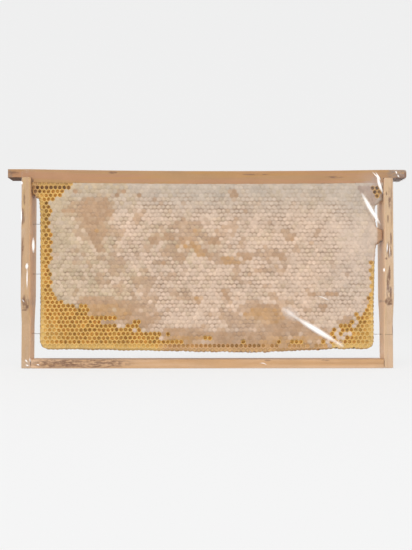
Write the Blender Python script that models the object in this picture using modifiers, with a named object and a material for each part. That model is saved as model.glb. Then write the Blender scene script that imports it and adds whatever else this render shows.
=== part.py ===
"""A frame of capped honeycomb, wrapped in clear film.

A self-spacing wooden hive frame stands on its bottom bar: top bar with two lugs, two end bars with
shoulders, and a bottom bar. One comb of wax and honey fills it, hangs from the top bar and is joined
to the end bars by wax bridges. Support wires cross the gaps beside the comb. Clear film is drawn
round all of it, with the left lug through its opening and a pocket over the right lug.

Metres, +X along the frame, the shown side faces -Y, +Z up, origin under the middle of the film.
"""

import math

import bmesh
import bpy
import numpy as np
from mathutils import Matrix

# ---------------------------------------------------------------- clearances and film
GAP = 0.0003                    # left between pieces that touch
FILM_WALL = 0.0004              # film and its overlaps
WOOD_BASE = FILM_WALL + GAP     # foot of the frame, above the film under it

# ---------------------------------------------------------------- wooden frame
TOP_BAR_LENGTH = 0.470          # over the lugs
FRAME_WIDTH = 0.435             # over the end bars
FRAME_HEIGHT = 0.2335           # foot of the end bars to the top of the top bar
BAR_DEPTH = 0.025               # top bar and bottom bar, front to back
LUG_THICKNESS = 0.010
TOP_BAR_THICKNESS = 0.0155      # between the end bars
BOTTOM_BAR_THICKNESS = 0.0102
END_BAR_THICKNESS = 0.010
SHOULDER_DEPTH = 0.037          # upper part of an end bar, which spaces the frames
SHOULDER_TOP_OF_TAPER = 0.0815  # heights above the foot, where the shoulder narrows
SHOULDER_FOOT_OF_TAPER = 0.0515
EASED_EDGE = 0.0007             # worn arrises of the wood
WORN_TIP = 0.0025               # rounding of the right lug's end
TOP_BAR_SAG = 0.0018            # the loaded top bar hangs this much lower in its middle
SAG_STEP = 0.035                # length of the straight pieces that make the sagging bar

WOOD_TOP = WOOD_BASE + FRAME_HEIGHT
LUG_UNDERSIDE = WOOD_TOP - LUG_THICKNESS
TOP_BAR_UNDERSIDE = WOOD_TOP - TOP_BAR_THICKNESS
END_OUTER = FRAME_WIDTH / 2
END_INNER = END_OUTER - END_BAR_THICKNESS
HALF_BAR = BAR_DEPTH / 2
HALF_SHOULDER = SHOULDER_DEPTH / 2
LUG_TIP = TOP_BAR_LENGTH / 2

# ---------------------------------------------------------------- comb
CELL_PITCH = 0.0052             # cell to cell along a row
ROW_PITCH = 0.00465             # row to row
CELL_DEPTH = 0.0080             # mouth to floor of an open cell
CELL_TAPER = 0.0006             # how far the floor is drawn in from the mouth all round
CAPPED_FACE = 0.0145            # capped comb, from the middle plane
OPEN_FACE = 0.0125              # mouths of the open cells
EDGE_FACE = 0.0092              # where the faces turn into the comb's edge
EDGE_ROUNDING = 0.0030          # width of that turn at the free edges
TOP_ROUNDING = 0.0010           # and under the top bar
OUTLINE_STEP = 0.010            # longest straight piece of the outline
ARC_STEP = math.radians(30.0)   # largest turn between two points of an arc
LONGEST_ARC = 0.45              # an arc takes at most this share of either side
TOP_ROW = 0.2128                # height of the highest row of cells
ROW_COUNT = 42
COLUMN_COUNT = 80
CLEAR_OF_CAPS = 1.35            # an open cell, enlarged this much, stays off the capped field
CLEAR_OF_EDGE = 1.08            # and enlarged this much, stays inside the comb

COMB_TOP = TOP_BAR_UNDERSIDE - GAP
BRIDGE_END = END_INNER - GAP

# Outline of the comb seen from the front: x, z and the radius of the corner there.
COMB_OUTLINE = (
    (-BRIDGE_END, COMB_TOP, 0.0005),        # wax at the top left runs on to the end bar
    (-BRIDGE_END, 0.2050, 0.0015),
    (-0.1990, 0.2015, 0.0030),
    (-0.1972, 0.1815, 0.0400),
    (-0.1962, 0.0805, 0.0400),
    (-0.1968, 0.0231, 0.0100),              # round lower left corner
    (-0.1500, 0.0229, 0.0600),
    (0.0500, 0.0191, 0.1000),               # the lower edge sags to the right of the middle
    (0.1460, 0.0233, 0.0600),
    (0.1954, 0.0231, 0.0090),               # round lower right corner
    (0.1956, 0.0715, 0.0400),
    (0.1973, 0.1295, 0.0400),
    (0.1992, 0.1467, 0.0030),
    (BRIDGE_END, 0.1500, 0.0015),           # wax bridge to the right end bar
    (BRIDGE_END, 0.1635, 0.0015),
    (0.1990, 0.1665, 0.0030),
    (0.1975, 0.1915, 0.0040),
    (BRIDGE_END, 0.1987, 0.0015),
    (BRIDGE_END, COMB_TOP, 0.0005),
)

# Corners of the capped field, front and back. Cells outside it are open.
CAPPED_FRONT = (
    (-0.1560, 0.2147), (-0.1700, 0.2025), (-0.1835, 0.1940), (-0.1815, 0.1515), (-0.1830, 0.1065),
    (-0.1760, 0.0835), (-0.1560, 0.0735), (-0.1400, 0.0655), (-0.1160, 0.0545), (-0.0860, 0.0495),
    (-0.0540, 0.0445), (-0.0480, 0.0325), (0.0500, 0.0315), (0.0900, 0.0270), (0.1430, 0.0283),
    (0.1440, 0.0475), (0.1690, 0.0495), (0.1755, 0.0595), (0.1815, 0.0685), (0.1865, 0.0825),
    (0.1885, 0.1065), (0.1895, 0.1365), (0.1920, 0.1715), (0.1880, 0.2147),
)
CAPPED_BACK = (
    (-0.1900, 0.2147), (-0.1900, 0.0915), (-0.1780, 0.0655), (-0.1500, 0.0455), (-0.1180, 0.0345),
    (-0.0700, 0.0285), (0.0900, 0.0265), (0.1380, 0.0395), (0.1660, 0.0575), (0.1850, 0.0865),
    (0.1890, 0.1365), (0.1880, 0.2147),
)

# ---------------------------------------------------------------- wires across the gaps
WIRE_DIAMETER = 0.0005
WIRE_HEIGHTS_LEFT = {"wire_left_upper": 0.1708, "wire_left_middle": 0.1115, "wire_left_lower": 0.0408}
WIRE_HEIGHTS_RIGHT = {"wire_right_lower": 0.0400}
COMB_EDGE_LEFT = {"wire_left_upper": -0.1972, "wire_left_middle": -0.1967, "wire_left_lower": -0.1968}
COMB_EDGE_RIGHT = {"wire_right_lower": 0.1956}

# ---------------------------------------------------------------- film
FILM_LIFT_START = 0.118         # from here outwards the film climbs from the comb to the shoulders
FILM_DROP_START = 0.1965        # from here it drops to the narrow foot of an end bar
FILM_LOW_ON_COMB = 0.0275       # where the film leaves the comb for the bottom bar
FILM_TOP_ON_COMB = 0.2145       # and for the top bar
FILM_STATIONS = (0.0, 0.060, FILM_LIFT_START, 0.145, 0.172, FILM_DROP_START, END_INNER)
OVERCUT = 0.004                 # how far a cutter runs past the wall that it opens

# ---------------------------------------------------------------- modelling
SHARP_ANGLE = math.radians(40.0)    # edges that turn more than this are eased
WELD_DISTANCE = 0.00001             # corners closer than this are one
WELD_DIGITS = 5                     # the same for corners compared by rounding
FACING_UP = 0.9                     # a normal with more than this upwards belongs to a top edge


# ---------------------------------------------------------------- scene helpers
def clear_scene():
    for thing in list(bpy.data.objects):
        bpy.data.objects.remove(thing, do_unlink=True)


def new_collection(name):
    collection = bpy.data.collections.new(name)
    bpy.context.scene.collection.children.link(collection)
    return collection


def finish(name, red, green, blue, roughness, alpha=1.0):
    """A Principled material from display colours between 0 and 1."""
    material = bpy.data.materials.new(name)
    material.use_nodes = True
    shader = material.node_tree.nodes["Principled BSDF"]
    linear = [channel ** 2.2 for channel in (red, green, blue)]
    shader.inputs["Base Color"].default_value = (*linear, 1.0)
    shader.inputs["Roughness"].default_value = roughness
    shader.inputs["Metallic"].default_value = 0.0
    shader.inputs["Alpha"].default_value = alpha
    return material


def add_object(name, mesh, collection, material=None):
    thing = bpy.data.objects.new(name, mesh)
    collection.objects.link(thing)
    if material is not None:
        mesh.materials.append(material)
    return thing


def ease_edges(thing, width):
    bevel = thing.modifiers.new("eased_edges", "BEVEL")
    bevel.width = width
    bevel.segments = 1
    bevel.limit_method = "ANGLE"
    bevel.angle_limit = SHARP_ANGLE


def cut(thing, cutter):
    cutter.hide_render = True
    cutter.display_type = "WIRE"
    boolean = thing.modifiers.new("cut_" + cutter.name, "BOOLEAN")
    boolean.operation = "DIFFERENCE"
    boolean.solver = "EXACT"
    boolean.object = cutter


# ---------------------------------------------------------------- outlines
def top_bar_sag(x):
    """How far the top bar hangs at x: a parabola between the end bars, nothing over the lugs."""
    return TOP_BAR_SAG * np.maximum(0.0, 1.0 - (x / END_INNER) ** 2)


def rounded_outline(corners, step=None):
    """A closed outline with an arc at each corner.

    A corner is (u, v, radius). The arc touches both sides at radius / tan(half the corner's angle)
    from the corner, or at LONGEST_ARC of a side that is too short for that. Sides longer than step
    are split.
    """
    points = []
    count = len(corners)
    for index in range(count):
        here = np.array(corners[index][:2])
        before = np.array(corners[index - 1][:2]) - here
        after = np.array(corners[(index + 1) % count][:2]) - here
        length_before = np.linalg.norm(before)
        length_after = np.linalg.norm(after)
        before = before / length_before
        after = after / length_after
        opening = math.acos(max(-1.0, min(1.0, float(before @ after))))
        reach = corners[index][2] / math.tan(opening / 2)
        reach = min(reach, LONGEST_ARC * length_before, LONGEST_ARC * length_after)
        if reach <= 0.0:
            points.append(here)
            continue
        radius = reach * math.tan(opening / 2)
        middle = before + after
        centre = here + middle / np.linalg.norm(middle) * radius / math.sin(opening / 2)
        start = here + before * reach - centre
        turn = math.pi - opening
        side = math.copysign(1.0, start[0] * (here - centre)[1] - start[1] * (here - centre)[0])
        pieces = max(1, math.ceil(turn / ARC_STEP))
        for piece in range(pieces + 1):
            angle = side * turn * piece / pieces
            cosine = math.cos(angle)
            sine = math.sin(angle)
            points.append(centre + np.array((start[0] * cosine - start[1] * sine,
                                             start[0] * sine + start[1] * cosine)))
    if step is None:
        return np.array(points)
    split = []
    for index, point in enumerate(points):
        following = points[(index + 1) % len(points)]
        parts = max(1, math.ceil(np.linalg.norm(following - point) / step))
        for part in range(parts):
            split.append(point + (following - point) * part / parts)
    return np.array(split)


def inset_outline(outline, free_edge, top_edge):
    """The outline moved inwards along its own normals, by less where it faces up."""
    before = np.roll(outline, 1, axis=0)
    after = np.roll(outline, -1, axis=0)
    along = after - before
    along = along / np.linalg.norm(along, axis=1, keepdims=True)
    inwards = np.stack((-along[:, 1], along[:, 0]), axis=1)
    distance = np.where(inwards[:, 1] < -FACING_UP, top_edge, free_edge)
    return outline + inwards * distance[:, None]


def inside(points, outline):
    """Which points lie inside a closed outline, by counting the sides that a ray crosses."""
    found = np.zeros(len(points), dtype=bool)
    for start, end in zip(outline, np.roll(outline, -1, axis=0)):
        spans = (start[1] > points[:, 1]) != (end[1] > points[:, 1])
        with np.errstate(divide="ignore", invalid="ignore"):
            crossing = start[0] + (points[:, 1] - start[1]) * (end[0] - start[0]) / (end[1] - start[1])
        found ^= spans & (points[:, 0] < crossing)
    return found


def extruded(name, outline, thickness, turn, collection, material=None):
    """A flat outline as a filled 2D curve, extruded both ways, turned into place and made a mesh."""
    curve = bpy.data.curves.new(name, "CURVE")
    curve.dimensions = "2D"
    curve.fill_mode = "BOTH"
    curve.extrude = thickness / 2
    spline = curve.splines.new("POLY")
    spline.points.add(len(outline) - 1)
    for point, (u, v) in zip(spline.points, outline):
        point.co = (u, v, 0.0, 1.0)
    spline.use_cyclic_u = True
    guide = bpy.data.objects.new(name + "_outline", curve)
    collection.objects.link(guide)
    bpy.context.view_layer.update()
    evaluated = guide.evaluated_get(bpy.context.evaluated_depsgraph_get())
    mesh = bpy.data.meshes.new_from_object(evaluated)
    bpy.data.objects.remove(guide, do_unlink=True)
    mesh.name = name
    mesh.transform(turn)
    solid = bmesh.new()
    solid.from_mesh(mesh)
    bmesh.ops.remove_doubles(solid, verts=solid.verts, dist=WELD_DISTANCE)
    bmesh.ops.recalc_face_normals(solid, faces=solid.faces)
    solid.to_mesh(mesh)
    solid.free()
    return add_object(name, mesh, collection, material)


# Local x, y of an outline to world x, z, and to world y, z.
FACING_FRONT = Matrix.Rotation(math.radians(90.0), 4, "X")
FACING_END = Matrix(((0, 0, 1, 0), (1, 0, 0, 0), (0, 1, 0, 0), (0, 0, 0, 1)))


def box(name, low, high, collection, material=None):
    """A box between two corners."""
    size = np.subtract(high, low)
    middle = np.add(high, low) / 2
    solid = bmesh.new()
    bmesh.ops.create_cube(solid, size=1.0)
    bmesh.ops.scale(solid, vec=size, verts=solid.verts)
    bmesh.ops.translate(solid, vec=middle, verts=solid.verts)
    mesh = bpy.data.meshes.new(name)
    solid.to_mesh(mesh)
    solid.free()
    return add_object(name, mesh, collection, material)


# ---------------------------------------------------------------- wooden frame
def make_top_bar(collection, material):
    """Two lugs that rest on the end bars, and a deeper stretch that drops between them."""
    deeper = END_INNER - GAP
    corners = (
        (-LUG_TIP, WOOD_TOP, 0.0),
        (-LUG_TIP, LUG_UNDERSIDE, 0.0),
        (-deeper, LUG_UNDERSIDE, 0.0),
        (-deeper, TOP_BAR_UNDERSIDE, 0.0),
        (deeper, TOP_BAR_UNDERSIDE, 0.0),
        (deeper, LUG_UNDERSIDE, 0.0),
        (LUG_TIP, LUG_UNDERSIDE, WORN_TIP),
        (LUG_TIP, WOOD_TOP, WORN_TIP),
        (END_INNER, WOOD_TOP, 0.0),
        (-END_INNER, WOOD_TOP, 0.0),
    )
    outline = rounded_outline(corners, SAG_STEP)
    outline[:, 1] -= top_bar_sag(outline[:, 0])
    bar = extruded("top_bar", outline, BAR_DEPTH, FACING_FRONT, collection, material)
    ease_edges(bar, EASED_EDGE)


def make_end_bar(name, side, collection, material):
    """A self-spacing end bar: a wide shoulder above, tapering to a foot as deep as the bars."""
    top = LUG_UNDERSIDE - GAP
    taper_top = WOOD_BASE + SHOULDER_TOP_OF_TAPER
    taper_foot = WOOD_BASE + SHOULDER_FOOT_OF_TAPER
    half = (
        (HALF_BAR, WOOD_BASE, 0.0),
        (HALF_BAR, taper_foot, 0.0),
        (HALF_SHOULDER, taper_top, 0.0),
        (HALF_SHOULDER, top, 0.0),
    )
    other = tuple((-y, z, radius) for y, z, radius in reversed(half))
    middle = side * (END_OUTER + END_INNER) / 2
    place = Matrix.Translation((middle, 0.0, 0.0)) @ FACING_END
    outline = rounded_outline(half + other)
    bar = extruded(name, outline, END_BAR_THICKNESS, place, collection, material)
    ease_edges(bar, EASED_EDGE)


def make_bottom_bar(collection, material):
    reach = END_INNER - GAP
    low = (-reach, -HALF_BAR, WOOD_BASE)
    high = (reach, HALF_BAR, WOOD_BASE + BOTTOM_BAR_THICKNESS)
    ease_edges(box("bottom_bar", low, high, collection, material), EASED_EDGE)


# ---------------------------------------------------------------- comb
def cell_mouth(x, z, enlarged=1.0):
    """The six corners of a cell's mouth, a hexagon with a corner at the top."""
    half_pitch = CELL_PITCH / 2 * enlarged
    high = ROW_PITCH * 2 / 3 * enlarged
    low = ROW_PITCH / 3 * enlarged
    steps = ((0, high), (half_pitch, low), (half_pitch, -low), (0, -high), (-half_pitch, -low),
             (-half_pitch, low))
    return np.array([(x + across, z + up) for across, up in steps])


def open_cells(capped, edge):
    """Centres of the cells that lie wholly between the capped field and the comb's edge."""
    centres = []
    for row in range(ROW_COUNT):
        z = TOP_ROW - row * ROW_PITCH
        shift = 0.0 if row % 2 else CELL_PITCH / 2
        for column in range(COLUMN_COUNT):
            x = (column - COLUMN_COUNT / 2) * CELL_PITCH + shift
            off_caps = not inside(cell_mouth(x, z, CLEAR_OF_CAPS), capped).any()
            on_comb = inside(cell_mouth(x, z, CLEAR_OF_EDGE), edge).all()
            if off_caps and on_comb:
                centres.append((x, z))
    return centres


def ring(solid, outline, y):
    return [solid.verts.new((u, y, v)) for u, v in outline]


def band(solid, first, second):
    """Four-sided faces between two rings of as many points."""
    count = len(first)
    for index in range(count):
        following = (index + 1) % count
        solid.faces.new((first[index], first[following], second[following], second[index]))


def comb_face(solid, outline, edge, capped, side):
    """One face of the comb: rounded edge, open cells' mouths, and the raised capped field.

    Returns the outer ring, for the comb's edge, and the faces that become cells.
    """
    outer = ring(solid, outline, side * EDGE_FACE)
    inner = ring(solid, edge, side * OPEN_FACE)
    band(solid, outer, inner)
    corners = {}
    mouths = []
    for x, z in open_cells(capped, edge):
        verts = []
        for u, v in cell_mouth(x, z):
            key = (round(u, WELD_DIGITS), round(v, WELD_DIGITS))
            if key not in corners:
                corners[key] = solid.verts.new((u, side * OPEN_FACE, v))
            verts.append(corners[key])
        mouths.append(solid.faces.new(verts))
    field = ring(solid, capped, side * OPEN_FACE)
    solid.faces.new(field)
    rims = {rim for mouth in mouths for rim in mouth.edges if len(rim.link_faces) == 1}
    border = [solid.edges.get((a, b)) for a, b in zip(inner, inner[1:] + inner[:1])]
    step = [solid.edges.get((a, b)) for a, b in zip(field, field[1:] + field[:1])]
    bmesh.ops.triangle_fill(solid, edges=border + step + list(rims), use_beauty=True,
                            normal=(0.0, side, 0.0))
    for vert in field:
        vert.co.y = side * CAPPED_FACE
    return outer, mouths


def make_comb(collection, material):
    """Wax and honey in one solid, with the open cells sunk into both faces.

    Its upper edge follows the sagging top bar that it hangs from.
    """
    outline = rounded_outline(COMB_OUTLINE, OUTLINE_STEP)
    hanging = outline[:, 1] > COMB_TOP - TOP_ROUNDING
    outline[hanging, 1] -= top_bar_sag(outline[hanging, 0])
    edge = inset_outline(outline, EDGE_ROUNDING, TOP_ROUNDING)
    solid = bmesh.new()
    front, front_mouths = comb_face(solid, outline, edge, np.array(CAPPED_FRONT), -1.0)
    back, back_mouths = comb_face(solid, outline, edge, np.array(CAPPED_BACK), 1.0)
    band(solid, front, back)
    bmesh.ops.recalc_face_normals(solid, faces=solid.faces)
    bmesh.ops.inset_individual(solid, faces=front_mouths + back_mouths, thickness=CELL_TAPER,
                               depth=-CELL_DEPTH, use_even_offset=True)
    mesh = bpy.data.meshes.new("comb")
    solid.to_mesh(mesh)
    solid.free()
    add_object("comb", mesh, collection, material)


# ---------------------------------------------------------------- wires
def make_wire(name, start, end, height, collection, material):
    """A straight stretch of wire between the comb's edge and an end bar."""
    curve = bpy.data.curves.new(name, "CURVE")
    curve.dimensions = "3D"
    curve.bevel_depth = WIRE_DIAMETER / 2
    curve.bevel_resolution = 2
    curve.use_fill_caps = True
    spline = curve.splines.new("POLY")
    spline.points.add(1)
    spline.points[0].co = (start, 0.0, height, 1.0)
    spline.points[1].co = (end, 0.0, height, 1.0)
    wire = bpy.data.objects.new(name, curve)
    collection.objects.link(wire)
    curve.materials.append(material)


def make_wires(collection, material):
    for name, height in WIRE_HEIGHTS_LEFT.items():
        make_wire(name, -END_INNER + GAP, COMB_EDGE_LEFT[name] - GAP, height, collection, material)
    for name, height in WIRE_HEIGHTS_RIGHT.items():
        make_wire(name, COMB_EDGE_RIGHT[name] + GAP, END_INNER - GAP, height, collection, material)


# ---------------------------------------------------------------- film
def eased(value):
    """0 below 0, 1 above 1, and a smooth rise between."""
    value = min(1.0, max(0.0, value))
    return value * value * (3.0 - 2.0 * value)


def mix(first, second, share):
    return first + (second - first) * share


def film_section(x, clearance):
    """The film's section across the frame at x, clear of what it wraps by clearance.

    It rests on the comb in the middle and climbs to the shoulders towards the end bars, and lower
    down it keeps to the comb until it drops to an end bar's foot.
    """
    lift = eased((abs(x) - FILM_LIFT_START) / (END_INNER - FILM_LIFT_START))
    drop = eased((abs(x) - FILM_DROP_START) / (END_INNER - FILM_DROP_START))
    foot = (HALF_BAR, WOOD_BASE - clearance)
    low = (mix(CAPPED_FACE, HALF_BAR, drop),
           mix(FILM_LOW_ON_COMB, WOOD_BASE + SHOULDER_FOOT_OF_TAPER, lift))
    waist = (mix(CAPPED_FACE, HALF_SHOULDER, lift), WOOD_BASE + SHOULDER_TOP_OF_TAPER)
    high = (waist[0], mix(FILM_TOP_ON_COMB, LUG_UNDERSIDE, lift))
    head = (HALF_BAR, WOOD_TOP - top_bar_sag(x) + clearance)
    half = [(y + clearance, z) for y, z in (foot, low, waist, high, head)]
    return half + [(-y, z) for y, z in reversed(half)]


def film_body(name, clearance, collection, material=None):
    """A loft through the film's sections, closed by flat ends."""
    half = FILM_STATIONS + (END_OUTER + clearance,)
    stations = [-x for x in reversed(half[1:])] + list(half)
    solid = bmesh.new()
    rings = []
    for x in stations:
        section = film_section(x, clearance)
        rings.append([solid.verts.new((x, y, z)) for y, z in section])
    for first, second in zip(rings, rings[1:]):
        band(solid, first, second)
    solid.faces.new(rings[0])
    solid.faces.new(rings[-1])
    bmesh.ops.recalc_face_normals(solid, faces=solid.faces)
    mesh = bpy.data.meshes.new(name)
    solid.to_mesh(mesh)
    solid.free()
    return add_object(name, mesh, collection, material)


def make_film(collection, cutters, material):
    """The film round the frame, hollow, with an opening in each end for its lug."""
    film = film_body("film", FILM_WALL + GAP, collection, material)
    cut(film, film_body("film_inside", GAP, cutters))
    for name, side in (("left_opening", -1.0), ("right_opening", 1.0)):
        ends = sorted((side * (END_OUTER - FILM_WALL), side * (END_OUTER + OVERCUT)))
        low = (ends[0], -HALF_BAR - GAP, LUG_UNDERSIDE - GAP)
        high = (ends[1], HALF_BAR + GAP, WOOD_TOP + GAP / 2)
        cut(film, box(name, low, high, cutters))


def pocket_outline(clearance, start):
    """Side view of the right lug, clearance wider all round, from start to past its tip."""
    radius = WORN_TIP + clearance
    corners = (
        (start, LUG_UNDERSIDE - clearance, 0.0),
        (LUG_TIP + clearance, LUG_UNDERSIDE - clearance, radius),
        (LUG_TIP + clearance, WOOD_TOP + clearance, radius),
        (start, WOOD_TOP + clearance, 0.0),
    )
    return rounded_outline(corners)


def make_lug_film(collection, cutters, material):
    """The film drawn over the right lug: a pocket, open where it meets the rest."""
    mouth = END_OUTER + FILM_WALL + 2 * GAP
    outer = FILM_WALL + GAP
    pocket = extruded("film_lug", pocket_outline(outer, mouth), BAR_DEPTH + 2 * outer, FACING_FRONT,
                      collection, material)
    inner = extruded("lug_inside", pocket_outline(GAP, mouth - OVERCUT), BAR_DEPTH + 2 * GAP,
                     FACING_FRONT, cutters)
    cut(pocket, inner)


# ---------------------------------------------------------------- the whole
def main():
    clear_scene()
    parts = new_collection("honeycomb_frame")
    cutters = new_collection("cutters")
    make_top_bar(parts, finish("top_bar_wood", 0.74, 0.59, 0.43, 0.60))
    make_end_bar("end_bar_left", -1.0, parts, finish("left_bar_wood", 0.76, 0.63, 0.50, 0.60))
    make_end_bar("end_bar_right", 1.0, parts, finish("right_bar_wood", 0.80, 0.67, 0.53, 0.60))
    make_bottom_bar(parts, finish("bottom_bar_wood", 0.81, 0.67, 0.52, 0.60))
    make_comb(parts, finish("comb_wax", 0.82, 0.71, 0.58, 0.45))
    make_wires(parts, finish("wire_steel", 0.45, 0.44, 0.43, 0.35))
    film = finish("clear_film", 0.95, 0.95, 0.96, 0.08, 0.12)
    make_film(parts, cutters, film)
    make_lug_film(parts, cutters, film)


main()
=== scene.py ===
"""Dresses a wooden hive frame of capped honeycomb that is wrapped in clear film.

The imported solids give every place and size. The wooden bars keep their solids and get grain, knots and
stains. The comb becomes single wax cappings, open cells with honey-coloured walls, and a scalloped
edge. The wires reach into comb and wood. The film becomes one thin sheet with creases.
"""

import math

import bpy
import numpy as np
from mathutils import Matrix, Vector


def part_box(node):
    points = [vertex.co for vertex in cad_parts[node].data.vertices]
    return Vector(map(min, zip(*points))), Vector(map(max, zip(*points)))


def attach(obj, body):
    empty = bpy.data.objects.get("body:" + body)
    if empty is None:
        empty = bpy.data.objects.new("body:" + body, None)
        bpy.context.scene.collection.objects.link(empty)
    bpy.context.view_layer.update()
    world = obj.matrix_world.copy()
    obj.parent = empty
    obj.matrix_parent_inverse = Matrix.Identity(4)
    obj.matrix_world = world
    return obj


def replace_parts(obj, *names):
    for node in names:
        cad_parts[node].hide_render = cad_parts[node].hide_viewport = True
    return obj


bl_info = {
    "name": "Framed Honeycomb",
    "version": (1, 0, 0),
    "blender": (4, 5, 0),
    "location": "3D View > Sidebar > Honeycomb",
    "description": "Dresses a wooden hive frame of capped honeycomb wrapped in clear film",
    "category": "Object",
}

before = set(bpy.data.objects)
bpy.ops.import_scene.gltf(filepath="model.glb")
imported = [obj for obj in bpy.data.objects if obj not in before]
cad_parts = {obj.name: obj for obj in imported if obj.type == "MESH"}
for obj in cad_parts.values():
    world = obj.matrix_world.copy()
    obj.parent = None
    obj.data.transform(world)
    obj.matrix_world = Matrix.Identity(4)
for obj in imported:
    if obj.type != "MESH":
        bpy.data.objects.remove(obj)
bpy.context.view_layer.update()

# ---------------------------------------------------------------- places from the frame
COMB_LOW, COMB_HIGH = np.array(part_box("comb"))
TOP_BAR_LOW, TOP_BAR_HIGH = np.array(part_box("top_bar"))
BOTTOM_BAR_LOW, BOTTOM_BAR_HIGH = np.array(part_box("bottom_bar"))
LEFT_BAR_LOW, LEFT_BAR_HIGH = np.array(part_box("end_bar_left"))
RIGHT_BAR_LOW, RIGHT_BAR_HIGH = np.array(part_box("end_bar_right"))
FILM_LOW, FILM_HIGH = np.array(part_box("film"))
LUG_FILM_HIGH = np.array(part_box("film_lug"))[1]

WOOD_BASE = BOTTOM_BAR_LOW[2]
END_INNER = RIGHT_BAR_LOW[0]
END_OUTER = RIGHT_BAR_HIGH[0]
HALF_BAR = BOTTOM_BAR_HIGH[1]
HALF_SHOULDER = RIGHT_BAR_HIGH[1]
LUG_UNDERSIDE = RIGHT_BAR_HIGH[2]
WOOD_TOP = TOP_BAR_HIGH[2]
COMB_MIDDLE = 0.1315            # height of a point from which the whole outline of the comb is seen
BAR_SAG = 0.0018                # the top bar hangs this much lower in its middle

# ---------------------------------------------------------------- the comb's lattice
CELL_PITCH = 0.0052
ROW_PITCH = 0.00465
TOP_ROW = COMB_HIGH[2] - 0.0056
ROWS_ABOVE = 1
ROW_COUNT = 44
COLUMN_COUNT = 82
EDGE_LEVEL = 0.0092             # where the solid's faces turn into its edge
CAP_LEVEL = 0.0145              # the solid's capped faces
RIM_LEVEL = 0.0126              # mouths of the open cells, from the middle plane


# ---------------------------------------------------------------- numbers on whole arrays
def smooth(value):
    """0 below 0, 1 above 1, eased between: 3 v squared minus 2 v cubed."""
    value = np.clip(value, 0.0, 1.0)
    return value * value * (3.0 - 2.0 * value)


def wander(x, z, size, seed):
    """Noise from -1 to 1 over the plane: random values on a square net, eased between its knots."""
    knots = np.random.default_rng(seed).uniform(-1.0, 1.0, (128, 128))
    u = np.asarray(x) / size + 61.37
    v = np.asarray(z) / size + 13.71
    column = np.floor(u).astype(int)
    row = np.floor(v).astype(int)
    across = smooth(u - column)
    up = smooth(v - row)
    column = column % 127
    row = row % 127
    low = knots[row, column] * (1 - across) + knots[row, column + 1] * across
    high = knots[row + 1, column] * (1 - across) + knots[row + 1, column + 1] * across
    return low * (1 - up) + high * up


def blotch(x, z, spots, seed, ragged=0.22):
    """1 inside any of the spots, 0 outside, with ragged borders.

    A spot is (x, z, half width, half height): an ellipse whose radius wanders.
    """
    field = np.zeros(np.shape(x))
    wobble = ragged * wander(x, z, 0.009, seed) + 0.6 * ragged * wander(x, z, 0.0045, seed + 1)
    for middle_x, middle_z, half_width, half_height in spots:
        radius = np.hypot((x - middle_x) / half_width, (z - middle_z) / half_height) + wobble
        field = np.maximum(field, smooth((1.18 - radius) / 0.36))
    return field


def resample(outline, step):
    """A closed outline walked at equal steps."""
    closed = np.vstack((outline, outline[:1]))
    lengths = np.concatenate(([0.0], np.cumsum(np.linalg.norm(np.diff(closed, axis=0), axis=1))))
    places = np.linspace(0.0, lengths[-1], max(8, int(lengths[-1] / step)), endpoint=False)
    return np.stack([np.interp(places, lengths, closed[:, axis]) for axis in (0, 1)], axis=1)


def outward(outline):
    """Unit normals of an outline that runs anticlockwise."""
    along = np.roll(outline, -1, axis=0) - np.roll(outline, 1, axis=0)
    along /= np.linalg.norm(along, axis=1, keepdims=True)
    return np.stack((along[:, 1], -along[:, 0]), axis=1)


def to_outline(points, outline):
    """Distance inside a closed outline, negative outside, and the nearest place on it."""
    starts = outline
    along = np.roll(outline, -1, axis=0) - starts
    squared = np.maximum((along ** 2).sum(axis=1), 1e-14)
    distances = []
    places = []
    for some in np.array_split(points, max(1, len(points) * len(outline) // 2000000 + 1)):
        offset = some[:, None, :] - starts[None]
        share = np.clip((offset * along).sum(axis=2) / squared, 0.0, 1.0)
        gap = offset - share[:, :, None] * along
        length = np.hypot(gap[:, :, 0], gap[:, :, 1])
        best = length.argmin(axis=1)
        row = np.arange(len(some))
        off = offset[row, best]
        side = np.sign(along[best, 0] * off[:, 1] - along[best, 1] * off[:, 0])
        distances.append(side * length[row, best])
        places.append(some - gap[row, best])
    return np.concatenate(distances), np.concatenate(places)


def build_mesh(name, points, faces, attributes=None, shade_smooth=True):
    """A mesh object from an array of points and arrays of faces with as many corners each."""
    faces = [group for group in faces if len(group)]
    sizes = np.concatenate([np.full(len(group), group.shape[1]) for group in faces])
    corners = np.concatenate([group.ravel() for group in faces]).astype(np.int32)
    starts = np.concatenate(([0], np.cumsum(sizes)[:-1])).astype(np.int32)
    mesh = bpy.data.meshes.new(name)
    mesh.vertices.add(len(points))
    mesh.vertices.foreach_set("co", np.asarray(points, np.float32).ravel())
    mesh.loops.add(len(corners))
    mesh.loops.foreach_set("vertex_index", corners)
    mesh.polygons.add(len(sizes))
    mesh.polygons.foreach_set("loop_start", starts)
    mesh.polygons.foreach_set("use_smooth", np.full(len(sizes), shade_smooth))
    mesh.update(calc_edges=True)
    for key, values in (attributes or {}).items():
        layer = mesh.attributes.new(key, "FLOAT", "POINT")
        layer.data.foreach_set("value", np.asarray(values, np.float32).ravel())
    piece = bpy.data.objects.new(name, mesh)
    bpy.context.scene.collection.objects.link(piece)
    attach(piece, "root")
    return piece


def grid_faces(rows, columns, closed_columns=False, closed_rows=False, flip=False):
    """Four-cornered faces of a grid of points, row by row."""
    index = np.arange(rows * columns).reshape(rows, columns)
    if closed_columns:
        index = np.hstack((index, index[:, :1]))
    if closed_rows:
        index = np.vstack((index, index[:1]))
    faces = np.stack((index[:-1, :-1], index[:-1, 1:], index[1:, 1:], index[1:, :-1]), axis=2)
    faces = faces.reshape(-1, 4)
    return faces[:, ::-1] if flip else faces


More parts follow.
